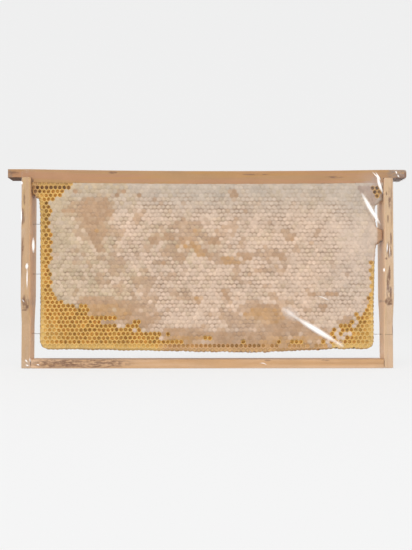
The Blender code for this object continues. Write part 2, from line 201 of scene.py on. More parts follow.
# ---------------------------------------------------------------- shaders
def linear(colour):
    """A display colour from 0 to 1 as the linear light that shaders take."""
    low = [channel / 12.92 for channel in colour]
    high = [((channel + 0.055) / 1.055) ** 2.4 for channel in colour]
    mixed = [a if channel <= 0.04045 else b for channel, a, b in zip(colour, low, high)]
    return (*mixed, 1.0)


class Socket:
    """An output socket. Arithmetic on it adds Math nodes to its finish."""

    def __init__(self, finish, socket):
        self.finish = finish
        self.socket = socket

    def __add__(self, other):
        return self.finish.maths("ADD", self, other)

    def __radd__(self, other):
        return self.finish.maths("ADD", other, self)

    def __sub__(self, other):
        return self.finish.maths("SUBTRACT", self, other)

    def __rsub__(self, other):
        return self.finish.maths("SUBTRACT", other, self)

    def __mul__(self, other):
        return self.finish.maths("MULTIPLY", self, other)

    def __rmul__(self, other):
        return self.finish.maths("MULTIPLY", other, self)

    def __truediv__(self, other):
        return self.finish.maths("DIVIDE", self, other)

    def __pow__(self, other):
        return self.finish.maths("POWER", self, other)

    def clamped(self):
        return self.finish.maths("ADD", self, 0.0, clamp=True)


class Finish:
    """A material while its nodes are added."""

    def __init__(self, name):
        self.material = bpy.data.materials.new(name)
        self.material.use_nodes = True
        self.tree = self.material.node_tree
        self.tree.nodes.clear()

    def feed(self, slot, value):
        if isinstance(value, Socket):
            self.tree.links.new(value.socket, slot)
        else:
            slot.default_value = value

    def node(self, kind, settings=None, values=None):
        """Adds a node: first its settings, then the values or links of its sockets."""
        node = self.tree.nodes.new(kind)
        for key, value in (settings or {}).items():
            setattr(node, key, value)
        for key, value in (values or {}).items():
            self.feed(node.inputs[key], value)
        return node

    def out(self, node, output=0):
        return Socket(self, node.outputs[output])

    def maths(self, operation, *values, clamp=False):
        settings = {"operation": operation, "use_clamp": clamp}
        return self.out(self.node("ShaderNodeMath", settings, dict(enumerate(values))))

    def mix(self, first, second, share):
        """Colours mixed by share. A tuple is a display colour."""
        settings = {"data_type": "RGBA", "clamp_factor": True}
        colours = [linear(c) if isinstance(c, tuple) else c for c in (first, second)]
        return self.out(self.node("ShaderNodeMix", settings, {0: share, 6: colours[0], 7: colours[1]}), 2)

    def brighten(self, colour, factor):
        """A colour made lighter or darker by a factor around 1."""
        node = self.node("ShaderNodeVectorMath", {"operation": "SCALE"}, {0: colour, "Scale": factor})
        return self.out(node)

    def attribute(self, name):
        return self.out(self.node("ShaderNodeAttribute", {"attribute_name": name}), "Fac")

    def place(self, scale=(1.0, 1.0, 1.0), shift=(0.0, 0.0, 0.0)):
        """Object coordinates, shifted and then stretched."""
        where = self.out(self.node("ShaderNodeTexCoord"), "Object")
        moved = self.node("ShaderNodeVectorMath", {"operation": "ADD"}, {0: where, 1: shift})
        scaled = self.node("ShaderNodeVectorMath", {"operation": "MULTIPLY"},
                           {0: self.out(moved), 1: scale})
        return self.out(scaled)

    def axes(self):
        """The x, y and z of Object coordinates as three numbers."""
        split = self.node("ShaderNodeSeparateXYZ", None, {0: self.place()})
        return [self.out(split, axis) for axis in range(3)]

    def noise(self, where, scale, detail=2.0, roughness=0.5, distortion=0.0):
        values = {"Vector": where, "Scale": scale, "Detail": detail, "Roughness": roughness,
                  "Distortion": distortion}
        return self.out(self.node("ShaderNodeTexNoise", None, values), 0)

    def step(self, value, low, high):
        """0 where value is below low, 1 above high, eased between."""
        settings = {"interpolation_type": "SMOOTHSTEP"}
        return self.out(self.node("ShaderNodeMapRange", settings, {0: value, 1: low, 2: high}))

    def bump(self, height, strength, distance):
        values = {"Height": height, "Strength": strength, "Distance": distance}
        return self.out(self.node("ShaderNodeBump", None, values))

    def shader(self, **values):
        """A Principled shader; an underscore in a name stands for a space."""
        named = {key.replace("_", " "): value for key, value in values.items()}
        return self.out(self.node("ShaderNodeBsdfPrincipled", None, named))

    def see_through(self, solid, share):
        """The shader where share is 1, clear where it is 0."""
        clear = self.out(self.node("ShaderNodeBsdfTransparent"))
        return self.out(self.node("ShaderNodeMixShader", None, {0: share, 1: clear, 2: solid}))

    def done(self, surface):
        self.node("ShaderNodeOutputMaterial", None, {"Surface": surface})
        return self.material


def wear(piece, material):
    """Puts a material on a piece, in place of what it had."""
    piece.data.materials.clear()
    piece.data.materials.append(material)


# ---------------------------------------------------------------- settings
def length_setting(name, description, default):
    return bpy.props.FloatProperty(name=name, description=description, default=default, min=0.0,
                                   precision=5, unit="LENGTH")


def share_setting(name, description, default):
    return bpy.props.FloatProperty(name=name, description=description, default=default, min=0.0,
                                   soft_max=1.0, subtype="FACTOR")


def colour_setting(name, description, red, green, blue):
    default = (red / 255, green / 255, blue / 255)
    return bpy.props.FloatVectorProperty(name=name, description=description, default=default,
                                         size=3, min=0.0, max=1.0, subtype="COLOR_GAMMA")


class CombSettings(bpy.types.PropertyGroup):
    """Sizes and colours of the comb."""

    dome: length_setting("Dome", "How far a dry capping swells", 0.00075)
    groove: length_setting("Groove", "Depth of the furrow between two rows of cappings", 0.00092)
    cell_depth: length_setting("Cell depth", "From the mouth of an open cell to its floor", 0.0044)
    rim: length_setting("Rim", "Half the thickness of the wall between two open cells", 0.00046)
    dry_grey: colour_setting("Dry capping, top", "Capping wax under the top bar", 187, 171, 154)
    dry_rose: colour_setting("Dry capping, middle", "Capping wax in the middle", 213, 186, 163)
    dry_cream: colour_setting("Dry capping, left", "Capping wax on the left", 192, 170, 139)
    damp_rose: colour_setting("Damp capping", "Capping that honey touches from below", 176, 140, 106)
    damp_gold: colour_setting("Soaked capping", "Capping soaked with honey", 182, 140, 92)
    # Painted shade: the colour that darkens the furrows between rows of cappings.
    furrow: colour_setting("Furrow", "Between the rows of cappings", 167, 138, 114)
    rim_gold: colour_setting("Rim", "Mouths of the open cells", 214, 170, 92)
    wall_gold: colour_setting("Wall", "Walls of the open cells", 222, 182, 96)
    floor_amber: colour_setting("Floor", "Honey on the floor of the open cells", 228, 186, 94)
    edge_cream: colour_setting("Edge", "Outer edge of the comb", 206, 178, 124)
    bridge_brown: colour_setting("Bridge", "Wax that joins the comb to the wood", 172, 132, 94)
    mauve: colour_setting("Corner wax", "Smooth wax in the top right corner", 164, 138, 120)
    old_brown: colour_setting("Old cells", "Dark cells that have held brood", 134, 88, 54)
    foot_amber: colour_setting("Foot", "Honeyed lower edge of the comb", 196, 154, 114)


class WoodSettings(bpy.types.PropertyGroup):
    """Colours of the frame's wood and wire."""

    top_bar: colour_setting("Top bar", "Oiled tan of the top bar", 171, 131, 85)
    top_band: colour_setting("Top bar bands", "Ochre bands along the top bar", 176, 130, 70)
    top_rose: colour_setting("Top bar, rosy bands", "Rosy bands along the top bar", 174, 126, 90)
    left_bar: colour_setting("Left bar", "Wood of the left end bar", 189, 154, 117)
    left_band: colour_setting("Left bar bands", "Yellow bands along the left end bar", 190, 156, 106)
    right_bar: colour_setting("Right bar", "Pale wood of the right end bar", 204, 171, 138)
    right_band: colour_setting("Right bar bands", "Bands along the right end bar", 199, 167, 128)
    bottom_bar: colour_setting("Bottom bar", "Pale wood of the bottom bar", 208, 169, 131)
    bottom_band: colour_setting("Bottom bar bands", "Bands along the bottom bar", 196, 151, 102)
    grain: colour_setting("Grain", "Late wood between the growth rings", 168, 124, 84)
    # This colour serves real stains, propolis and tarnish, and also the painted shade under the lugs.
    stain_and_shade: colour_setting("Stain", "Brown stains and propolis", 120, 84, 58)
    weathered: colour_setting("Weathered wood", "Grey bruised wood on the lugs", 136, 114, 96)
    # Painted light: the faces of the end bars towards the comb get lighter colours, standing in for the light that
    # reaches them.
    left_inside_painted_light: colour_setting("Left bar, inside", "Cleaner wood facing the comb", 222, 178, 132)
    right_inside_painted_light: colour_setting("Right bar, inside", "Cleaner wood facing the comb", 234, 198, 158)
    waxed: colour_setting("Waxed wood", "Wax rubbed on to the top bar", 168, 140, 120)
    wire: colour_setting("Wire", "Support wire", 112, 106, 100)


class FilmSettings(bpy.types.PropertyGroup):
    """How much of the film shows."""

    clearance: length_setting("Clearance", "From what the film wraps to the film", 0.0005)
    wrinkle: length_setting("Wrinkle", "Height of the small wrinkles", 0.00035)
    veil: share_setting("Veil", "How much of the flat film is seen", 0.018)
    # How white the creases are: partly real whitening, partly painted highlight.
    crease: share_setting("Crease", "How white the creases are", 0.92)


class StageSettings(bpy.types.PropertyGroup):
    """Floor, lights and camera."""

    floor: colour_setting("Floor", "Floor and backdrop", 241, 241, 241)
    glow: share_setting("Glow", "Share of the floor's brightness that is its own", 0.82)
    key: bpy.props.FloatProperty(name="Key", description="Power of the main light", default=12.0,
                                 min=0.0, subtype="POWER", unit="POWER")
    fill: bpy.props.FloatProperty(name="Fill", description="Power of each side light", default=6.5,
                                  min=0.0, subtype="POWER", unit="POWER")
    sky: share_setting("Sky", "Strength of the light from all round", 0.66)
    distance: length_setting("Distance", "Camera to the middle plane of the frame", 0.907)
    focal: bpy.props.FloatProperty(name="Focal length", description="Lens of the camera",
                                   default=0.0, min=0.0, unit="CAMERA")


# ---------------------------------------------------------------- comb: where things are
# Spots are x, z, half width, half height, seen from the front.
DAMP_FRONT = (
    (-0.1335, 0.1835, 0.0200, 0.0225), (-0.1280, 0.1570, 0.0110, 0.0140),
    (-0.1270, 0.1415, 0.0060, 0.0070), (-0.1130, 0.0705, 0.0380, 0.0100),
    (-0.0780, 0.0585, 0.0260, 0.0095), (-0.1380, 0.0795, 0.0160, 0.0055),
    (-0.1180, 0.0605, 0.0200, 0.0070), (0.0640, 0.0655, 0.0270, 0.0115),
    (0.0900, 0.0515, 0.0240, 0.0100), (0.0460, 0.0365, 0.0560, 0.0085),
    (-0.0280, 0.0405, 0.0300, 0.0090), (0.0300, 0.2045, 0.0055, 0.0062),
    (0.0215, 0.0865, 0.0050, 0.0085), (0.0266, 0.1262, 0.0140, 0.0045),
    (-0.0120, 0.0815, 0.0040, 0.0050), (-0.0150, 0.1605, 0.0060, 0.0030),
    (-0.0450, 0.1545, 0.0090, 0.0040), (-0.0630, 0.1505, 0.0060, 0.0060),
    (0.0840, 0.1335, 0.0080, 0.0045), (0.0970, 0.1555, 0.0060, 0.0040),
    (0.1230, 0.0865, 0.0080, 0.0040), (0.1450, 0.0875, 0.0070, 0.0030),
    (0.1360, 0.0715, 0.0050, 0.0060), (-0.0560, 0.1255, 0.0070, 0.0030),
    (-0.0270, 0.1500, 0.0110, 0.0050), (-0.0080, 0.1375, 0.0090, 0.0050),
    (0.1200, 0.0395, 0.0270, 0.0090), (0.1620, 0.0560, 0.0100, 0.0040), (0.0100, 0.1490, 0.0080, 0.0050),
    (0.0700, 0.0290, 0.0750, 0.0050), (0.0030, 0.1310, 0.0040, 0.0050), (-0.0350, 0.1320, 0.0080, 0.0040),
    (0.0470, 0.1310, 0.0080, 0.0040), (0.0405, 0.1350, 0.0090, 0.0028), (-0.1640, 0.1850, 0.0080, 0.0045),
    (-0.0200, 0.1440, 0.0110, 0.0040),
)
SOAKED_FRONT = (
    (-0.0120, 0.1605, 0.0050, 0.0040), (-0.0120, 0.1345, 0.0100, 0.0050),
    (-0.0330, 0.1415, 0.0070, 0.0030), (-0.1230, 0.0655, 0.0300, 0.0090),
    (0.0640, 0.0615, 0.0260, 0.0090), (0.0255, 0.1960, 0.0034, 0.0040),
    (-0.0120, 0.0815, 0.0040, 0.0040), (0.0266, 0.1262, 0.0125, 0.0038),
    (-0.0200, 0.1440, 0.0120, 0.0050), (0.0980, 0.0315, 0.0500, 0.0070), (-0.1300, 0.1630, 0.0035, 0.0035),
    (-0.0280, 0.0345, 0.0240, 0.0050),
)
# Here more of the cappings than elsewhere are touched by honey.
MOTTLED_FRONT = (
    (-0.0300, 0.1475, 0.0420, 0.0240), (-0.0850, 0.0915, 0.0600, 0.0260),
    (0.0700, 0.1315, 0.0420, 0.0200), (0.0700, 0.0575, 0.0560, 0.0260),
    (-0.1150, 0.1365, 0.0160, 0.0300), (0.0300, 0.0415, 0.0900, 0.0120),
    (-0.1560, 0.1760, 0.0150, 0.0240), (-0.1500, 0.1180, 0.0140, 0.0200),
    (0.0150, 0.1430, 0.0360, 0.0200), (0.0150, 0.1680, 0.0240, 0.0100),
)
# Here the dry cappings are yellower.
GILDED_FRONT = ((-0.0300, 0.1480, 0.0450, 0.0260),)
GILDED_BACK = ((0.0600, 0.0800, 0.0450, 0.0300),)
DAMP_BACK = (
    (0.1120, 0.1600, 0.0190, 0.0130), (0.1270, 0.1440, 0.0150, 0.0100), (0.1030, 0.1400, 0.0080, 0.0060),
    (0.1430, 0.1540, 0.0070, 0.0050), (0.0620, 0.0740, 0.0250, 0.0110), (0.0300, 0.0650, 0.0170, 0.0075),
    (0.0870, 0.0640, 0.0130, 0.0070), (0.0080, 0.0585, 0.0090, 0.0045), (-0.1050, 0.0620, 0.0280, 0.0100),
    (-0.0700, 0.0710, 0.0190, 0.0095), (-0.0480, 0.0560, 0.0110, 0.0060), (-0.1340, 0.0760, 0.0100, 0.0070),
    (-0.0250, 0.1740, 0.0160, 0.0100), (-0.0090, 0.1640, 0.0090, 0.0050), (-0.0430, 0.1690, 0.0070, 0.0050),
    (-0.1450, 0.1330, 0.0110, 0.0150), (-0.1360, 0.1200, 0.0080, 0.0070), (0.0160, 0.1230, 0.0190, 0.0075),
    (-0.0080, 0.1150, 0.0120, 0.0060), (0.0000, 0.0385, 0.0800, 0.0075), (-0.0900, 0.0420, 0.0350, 0.0060),
)
SOAKED_BACK = (
    (0.0560, 0.0720, 0.0220, 0.0080), (-0.0960, 0.0590, 0.0280, 0.0090), (0.0200, 0.0360, 0.0450, 0.0050),
)
MOTTLED_BACK = (
    (0.0300, 0.1475, 0.0520, 0.0240), (-0.0700, 0.0865, 0.0700, 0.0320), (0.1000, 0.0900, 0.0500, 0.0260),
)
SUNKEN_FRONT = (
    (-0.1540, 0.2080, 0.0030, 0.0028), (-0.1085, 0.2040, 0.0032, 0.0030),
    (-0.1010, 0.2090, 0.0032, 0.0028), (-0.0825, 0.2045, 0.0032, 0.0030),
    (-0.0600, 0.2000, 0.0028, 0.0028), (-0.0540, 0.1965, 0.0042, 0.0024),
)
OPEN_SPOTS_FRONT = (
    (0.0000, 0.0367, 0.0032, 0.0032), (-0.0472, 0.0308, 0.0125, 0.0026), (0.0430, 0.0330, 0.0030, 0.0030),
    (0.0830, 0.0295, 0.0030, 0.0030), (0.1070, 0.0277, 0.0120, 0.0034),
    (0.1950, 0.2128, 0.0022, 0.0022), (0.2002, 0.2128, 0.0022, 0.0022),
    (0.1976, 0.2082, 0.0022, 0.0022), (0.2028, 0.2082, 0.0022, 0.0022),
    (0.2002, 0.2035, 0.0022, 0.0022),
)
MAUVE_SPOTS = (
    (0.1800, 0.2120, 0.0055, 0.0036), (0.1865, 0.2105, 0.0085, 0.0070), (0.1925, 0.2060, 0.0085, 0.0110),
    (0.2005, 0.2100, 0.0085, 0.0095), (0.1945, 0.1980, 0.0045, 0.0065),
)
DARK_SPOTS = (
    (-0.1835, 0.2150, 0.0270, 0.0046), (-0.2030, 0.2100, 0.0060, 0.0080), (0.1985, 0.2110, 0.0080, 0.0070),
)
# Here shut and open cells are mixed. The last number is lower where more of them are open.
MIXED_FRONT = (
    (0.1600, 0.0425, 0.0150, 0.0085, -0.30), (-0.1180, 0.0570, 0.0150, 0.0055, 0.05),
    (-0.0850, 0.0500, 0.0160, 0.0050, 0.05), (-0.0500, 0.0370, 0.0060, 0.0060, 0.05),
    (-0.1480, 0.0690, 0.0100, 0.0050, 0.05), (0.1730, 0.0590, 0.0080, 0.0070, -0.05),
    (0.1170, 0.0290, 0.0300, 0.0034, -0.10),
)
# Here the open cells are new, pale and shallow.
PALE_FRONT = ((0.1830, 0.0400, 0.0120, 0.0140), (-0.1850, 0.0420, 0.0120, 0.0130))
PALE_BACK = ((-0.1830, 0.0400, 0.0120, 0.0140), (0.1850, 0.0420, 0.0120, 0.0130))
SHUT_FRONT = (
    (-0.1850, -0.1795, 0.1735, 0.1805), (-0.1860, -0.1790, 0.1175, 0.1225),
)

FACES = {
    "front": {"side": -1.0, "damp": DAMP_FRONT, "soaked": SOAKED_FRONT, "mottled": MOTTLED_FRONT,
              "sunken": SUNKEN_FRONT,
              "open": OPEN_SPOTS_FRONT, "shut": SHUT_FRONT, "mixed": MIXED_FRONT, "pale": PALE_FRONT,
              "gilded": GILDED_FRONT, "left_open_to": 0.232,
              "right_open_to": 0.128, "top_open_to": -0.1600, "seed": 11},
    "back": {"side": 1.0, "damp": DAMP_BACK, "soaked": SOAKED_BACK, "mottled": MOTTLED_BACK,
             "sunken": (), "open": (),
             "shut": (), "mixed": (), "pale": PALE_BACK, "gilded": GILDED_BACK, "left_open_to": 0.0895, "right_open_to": 0.0935, "top_open_to": -0.2300,
             "seed": 47},
}

CAPPING_CREEP = 0.0022          # how far the cappings reach past the solid's capped field
SCALLOP = 0.00035               # swelling of each outer cell at the comb's edge
TOP_LAP = 0.0006                # how far the wax laps over the top bar's face
FINE_STEP = 0.0008              # points along the scalloped outline
EDGE_REACH = 0.0060             # how far in from the edge it is felt
EDGE_ROUND = 0.0034             # width of the rounded edge
TOP_ROUND = 0.0008              # the same under the top bar


def bar_sag(x):
    """How far the top bar hangs at x: a parabola between the end bars."""
    return BAR_SAG * np.maximum(0.0, 1.0 - (x / END_INNER) ** 2)


def solid_level(y):
    """The comb solid's corners at level y, in order round its middle."""
    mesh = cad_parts["comb"].data
    points = np.empty(len(mesh.vertices) * 3, np.float32)
    mesh.vertices.foreach_get("co", points)
    points = points.reshape(-1, 3).astype(float)
    level = points[np.abs(points[:, 1] - y) < 1e-5][:, [0, 2]]
    level = np.unique(np.round(level, 5), axis=0)
    return level[np.argsort(np.arctan2(level[:, 1] - COMB_MIDDLE, level[:, 0]))]


OUTLINE = solid_level(-EDGE_LEVEL)


def scalloped_outline():
    """The comb's outline, swelling a little at each outer cell, and ragged along the foot."""
    outline = resample(OUTLINE, FINE_STEP)
    normal = outward(outline)
    x, z = outline.T
    rows = np.cos(2 * np.pi * (z - TOP_ROW) / ROW_PITCH) * np.abs(normal[:, 0])
    columns = np.cos(2 * np.pi * x / CELL_PITCH) * np.clip(-normal[:, 1], 0.0, 1.0)
    ragged = 0.0006 * wander(x, z, 0.011, 5) * np.clip(-normal[:, 1], 0.0, 1.0)
    free = smooth((COMB_HIGH[0] - 0.002 - np.abs(x)) / 0.003) * smooth((COMB_HIGH[2] - 0.006 - z) / 0.004)
    swell = (SCALLOP * (rows + columns) + ragged) * free
    under_bar = smooth((z - COMB_HIGH[2] + 0.0030) / 0.0010) * smooth((normal[:, 1] - 0.5) / 0.4)
    lap = under_bar * (TOP_LAP + 0.0003 * wander(x, z, 0.0031, 6))
    return outline + normal * swell[:, None] + np.stack((0.0 * lap, lap), axis=1)


FINE_OUTLINE = scalloped_outline()


def from_edge(points):
    """Distance inside the comb's edge and the nearest place on it, exact only near the edge."""
    distance, place = to_outline(points, OUTLINE)
    near = distance < EDGE_REACH
    distance[near], place[near] = to_outline(points[near], FINE_OUTLINE)
    return distance, place


def rounded(level, distance, z):
    """A level lowered towards the edge along a quarter of an ellipse.

    Under the top bar it only comes down to just before the bar's face, which the wax laps over.
    """
    under_bar = smooth((z - (COMB_HIGH[2] - 0.0060)) / 0.0030)
    width = EDGE_ROUND + (TOP_ROUND - EDGE_ROUND) * under_bar
    lowest = EDGE_LEVEL + (HALF_BAR + 0.0002 - EDGE_LEVEL) * under_bar
    share = np.clip(distance / width, 0.0, 1.0)
    return lowest + (np.maximum(level, lowest) - lowest) * np.sqrt(1.0 - (1.0 - share) ** 2)


def lattice():
    """Centres of all cells whose middle lies in the comb, or less than a millimetre outside."""
    row, column = np.mgrid[0:ROW_COUNT, 0:COLUMN_COUNT]
    row = row - ROWS_ABOVE
    x = (column - COLUMN_COUNT / 2) * CELL_PITCH + np.where(row % 2 == 0, CELL_PITCH / 2, 0.0)
    z = TOP_ROW - row * ROW_PITCH
    centres = np.stack((x.ravel(), z.ravel()), axis=1)
    distance, _ = from_edge(centres)
    return centres[distance > -0.0010]


def cell_is_open(centres, face, capped):
    """Open cells lie outside the capped field, apart from shut rows at the top and the sides."""
    x, z = centres.T
    creep = CAPPING_CREEP + 0.0016 * wander(x, z, 0.006, face["seed"])
    outside = to_outline(centres, capped)[0] < -creep
    outside &= np.where(x < 0, z < face["left_open_to"], z < face["right_open_to"])
    outside &= (z < TOP_ROW - 0.5 * ROW_PITCH) | (x < face["top_open_to"])
    for middle_x, middle_z, half_width, half_height, least in face["mixed"]:
        here = np.hypot((x - middle_x) / half_width, (z - middle_z) / half_height) < 1.0
        outside = np.where(here, wander(x, z, 0.0037, face["seed"] + 17) > least, outside)
    for low_x, high_x, low_z, high_z in face["shut"]:
        outside &= ~((x > low_x) & (x < high_x) & (z > low_z) & (z < high_z))
    for middle_x, middle_z, half_width, half_height in face["open"]:
        outside |= np.hypot((x - middle_x) / half_width, (z - middle_z) / half_height) < 1.0
    return outside


# The mouth of a cell: six corners and the middles of the six sides between them, clockwise.
CORNERS = np.array(((0.0, 2.0), (1.5, 1.0), (1.5, -1.0), (0.0, -2.0), (-1.5, -1.0), (-1.5, 1.0)))
CORNERS *= np.array((CELL_PITCH / 3, ROW_PITCH / 3))
HEXAGON = np.stack((CORNERS, (CORNERS + np.roll(CORNERS, -1, axis=0)) / 2), axis=1).reshape(12, 2)
CIRCLE = HEXAGON / np.linalg.norm(HEXAGON, axis=1, keepdims=True) * CELL_PITCH / 2
# A furrow is deep at corners and slanted sides, and shallow between two cells of one row.
FURROW_SHARE = np.array((1.0, 0.9, 0.9, 0.12, 0.9, 0.9, 1.0, 0.9, 0.9, 0.12, 0.9, 0.9))


def drift(points):
    """How far the bees' lattice strays from a true one: two slow waves of noise, none by the edge."""
    x, z = points.T
    free = smooth((COMB_HIGH[0] - 0.010 - np.abs(x)) / 0.008)
    free = free * smooth((z - COMB_LOW[2] - 0.008) / 0.008) * smooth((COMB_HIGH[2] - 0.003 - z) / 0.006)
    along = 0.00050 * wander(x, z, 0.0085, 91) + 0.00034 * wander(x, z, 0.0042, 92)
    up = 0.00040 * wander(x, z, 0.0085, 93) + 0.00026 * wander(x, z, 0.0042, 94)
    return np.stack((along, up), axis=1) * free[:, None]


def ring_points(centres, size, roundness, stretch=None):
    """Twelve points round each centre: the mouth drawn in to size, rounder with roundness."""
    shape = (HEXAGON * (1.0 - roundness) + CIRCLE * roundness) * size
    shape = np.repeat(shape[None], len(centres), axis=0)
    if stretch is not None:
        shape = shape * stretch[:, None, :]
    points = (centres[:, None, :] + shape).reshape(-1, 2)
    points = points + drift(points)
    distance, place = from_edge(points)
    outside = distance < 0.0
    points[outside] = place[outside]
    return points, np.maximum(distance, 0.0)


def merged(points):
    """Points that coincide as one: indices into the unique ones, and the unique ones' first use."""
    keys = np.round(points * 50000).astype(np.int64)
    _, first, back = np.unique(keys, axis=0, return_index=True, return_inverse=True)
    return first, back.reshape(-1)


def ring_faces(outer, inner, flip):
    """Faces between two rings of twelve for each cell, without those squashed flat at the edge."""
    faces = np.stack((outer, np.roll(outer, -1, axis=1), np.roll(inner, -1, axis=1), inner), axis=2)
    faces = faces.reshape(-1, 4)
    faces = faces[faces[:, 0] != faces[:, 1]]
    return faces if flip else faces[:, ::-1]


def fan_faces(ring, tip, flip):
    """Triangles from each cell's ring to its middle point."""
    faces = np.stack((ring, np.roll(ring, -1, axis=1), np.repeat(tip[:, None], 12, axis=1)), axis=2)
    faces = faces.reshape(-1, 3)
    return faces if flip else faces[:, ::-1]


def cell_mesh(name, side, rings, levels, tip_points, tip_levels, attributes):
    """Joins the rings of all cells and their middle points into one mesh.

    The outermost ring is shared between neighbours. Attributes are one array for each ring and one
    for the middle points, and a shared point takes the mean of its cells' values.
    """
    count = len(tip_points)
    first, back = merged(rings[0])
    shared = len(first)
    points = [rings[0][first]]
    depth = [levels[0][first]]
    index = [back.reshape(count, 12)]
    used = shared
    for ring, level in zip(rings[1:], levels[1:]):
        points.append(ring)
        depth.append(level)
        index.append(np.arange(used, used + count * 12).reshape(count, 12))
        used += count * 12
    points.append(tip_points)
    depth.append(tip_levels)
    tips = np.arange(used, used + count)
    flat = np.concatenate(points)
    y = side * np.concatenate(depth)
    faces = [ring_faces(outer, inner, side > 0) for outer, inner in zip(index, index[1:])]
    faces.append(fan_faces(index[-1], tips, side > 0))
    uses = np.bincount(back, minlength=shared)
    layers = {}
    for key, values in attributes.items():
        outer = np.bincount(back, weights=values[0].ravel(), minlength=shared) / uses
        layers[key] = np.concatenate([outer] + [value.ravel() for value in values[1:]])
    places = np.stack((flat[:, 0], y, flat[:, 1]), axis=1)
    return build_mesh(name, places, faces, layers)


def rim_level(points, capped):
    """Level of the cells' mouths: lower where the cells are open than under the cappings."""
    x, z = points.T
    inside_field, _ = to_outline(points, capped)
    field = smooth((inside_field + 0.0030) / 0.0060)
    swell = 0.00022 * wander(x, z, 0.030, 3) + 0.00010 * wander(x, z, 0.009, 4)
    return RIM_LEVEL + 0.00095 * field + swell, field


def bridge_share(points):
    """1 in the brown wax that joins the comb to the wood, 0 on the comb."""
    x, z = points.T
    left = smooth((-0.1975 - x) / 0.004) * smooth((z - 0.2005) / 0.004)
    right = smooth((x - 0.1985) / 0.003) * smooth((0.185 - z) / 0.004)
    return np.maximum(left, right)


def mauve_share(points):
    """1 in the smooth mauve wax of the top right corner, 0 elsewhere."""
    return blotch(points[:, 0], points[:, 1], MAUVE_SPOTS, 61, 0.12)


def foot_share(points):
    """1 along the honeyed foot of the comb right of its middle, 0 elsewhere."""
    x, z = points.T
    along = smooth((x + 0.062) / 0.012) * smooth((0.146 - x) / 0.010)
    return along * smooth((0.031 - z) / 0.005)


def dark_share(points):
    """1 in the dark old cells under the top bar and those by the long crease, 0 elsewhere."""
    return blotch(points[:, 0], points[:, 1], DARK_SPOTS, 63, 0.15)


# ---------------------------------------------------------------- comb: finishes
def capping_finish(look):
    """Wax cappings: pale and dry, or darker where honey touches them, with furrows between rows."""
    wax = Finish("capping_wax")
    grain = wax.noise(wax.place(), 900.0, 3.0, 0.6)
    mottle = wax.noise(wax.place(shift=(0.3, 0.0, 0.1)), 210.0, 2.0, 0.5)
    dry = wax.mix(tuple(look.dry_grey), tuple(look.dry_rose), wax.attribute("warm"))
    dry = wax.mix(dry, tuple(look.dry_cream), wax.attribute("cream"))
    damp = wax.mix(tuple(look.damp_rose), tuple(look.damp_gold), wax.attribute("soaked"))
    colour = wax.mix(dry, damp, wax.attribute("damp"))
    # Painted shade: the furrows between rows of cappings are darkened where shade falls below each capping.
    furrow = wax.attribute("furrow") * wax.step(mottle, 0.26, 0.50)
    colour = wax.mix(colour, tuple(look.furrow), furrow)
    colour = wax.mix(colour, tuple(look.bridge_brown), wax.attribute("bridge"))
    colour = wax.mix(colour, tuple(look.mauve), wax.attribute("mauve") * 0.85)
    flecks = wax.noise(wax.place(shift=(0.1, 0.0, 0.7)), 430.0, 2.0, 0.6)
    shade = wax.attribute("tone") * 0.115 + (grain - 0.5) * 0.16 + (mottle - 0.5) * 0.14 + 1.0
    shade = shade + (flecks - 0.5) * 0.26
    colour = wax.brighten(colour, shade)
    gloss = 0.52 - wax.attribute("damp") * 0.16
    bump = wax.bump(grain, 0.35, 0.0004)
    return wax.done(wax.shader(Base_Color=colour, Roughness=gloss, Normal=bump, IOR=1.44))


def open_cell_finish(look):
    """Open cells: golden rims, walls that deepen to amber, and pale shallow cells by the edge."""
    wax = Finish("open_cell_wax")
    grain = wax.noise(wax.place(), 700.0, 3.0, 0.6)
    depth = wax.attribute("depth")
    wall = wax.mix(tuple(look.rim_gold), tuple(look.wall_gold), wax.step(depth, 0.0, 0.35))
    colour = wax.mix(wall, tuple(look.floor_amber), wax.step(depth, 0.30, 1.0))
    colour = wax.mix(colour, tuple(look.edge_cream), wax.attribute("pale") * (1.0 - depth * 0.75))
    colour = wax.mix(colour, tuple(look.foot_amber), wax.attribute("foot") * (0.85 - depth * 0.45))
    colour = wax.mix(colour, tuple(look.bridge_brown), wax.attribute("bridge"))
    colour = wax.mix(colour, tuple(look.old_brown), wax.attribute("dark") * (0.30 + depth * 0.50))
    shade = wax.attribute("tone") * 0.10 + (grain - 0.5) * 0.16 + 1.0
    colour = wax.brighten(colour, shade)
    gloss = 0.46 - wax.step(depth, 0.4, 1.0) * 0.14
    bump = wax.bump(grain, 0.3, 0.0003)
    return wax.done(wax.shader(Base_Color=colour, Roughness=gloss, Normal=bump, IOR=1.44))


def comb_edge_finish(look):
    """The comb's outer edge: cream wax with golden furrows between the outer cells."""
    wax = Finish("comb_edge_wax")
    grain = wax.noise(wax.place(), 420.0, 3.0, 0.55)
    cloud = wax.noise(wax.place(scale=(1.0, 0.5, 1.0)), 120.0, 2.0, 0.5)
    colour = wax.mix(tuple(look.edge_cream), tuple(look.rim_gold), wax.step(cloud, 0.40, 0.66))
    colour = wax.mix(colour, tuple(look.wall_gold), wax.attribute("furrow") * 0.55)
    colour = wax.mix(colour, tuple(look.foot_amber), wax.attribute("foot") * wax.step(cloud, 0.36, 0.58) * 0.85)
    colour = wax.mix(colour, tuple(look.bridge_brown), wax.attribute("bridge"))
    colour = wax.brighten(colour, (grain - 0.5) * 0.20 + 1.0)
    bump = wax.bump(grain, 0.4, 0.0005)
    return wax.done(wax.shader(Base_Color=colour, Roughness=0.46, Normal=bump, IOR=1.44))


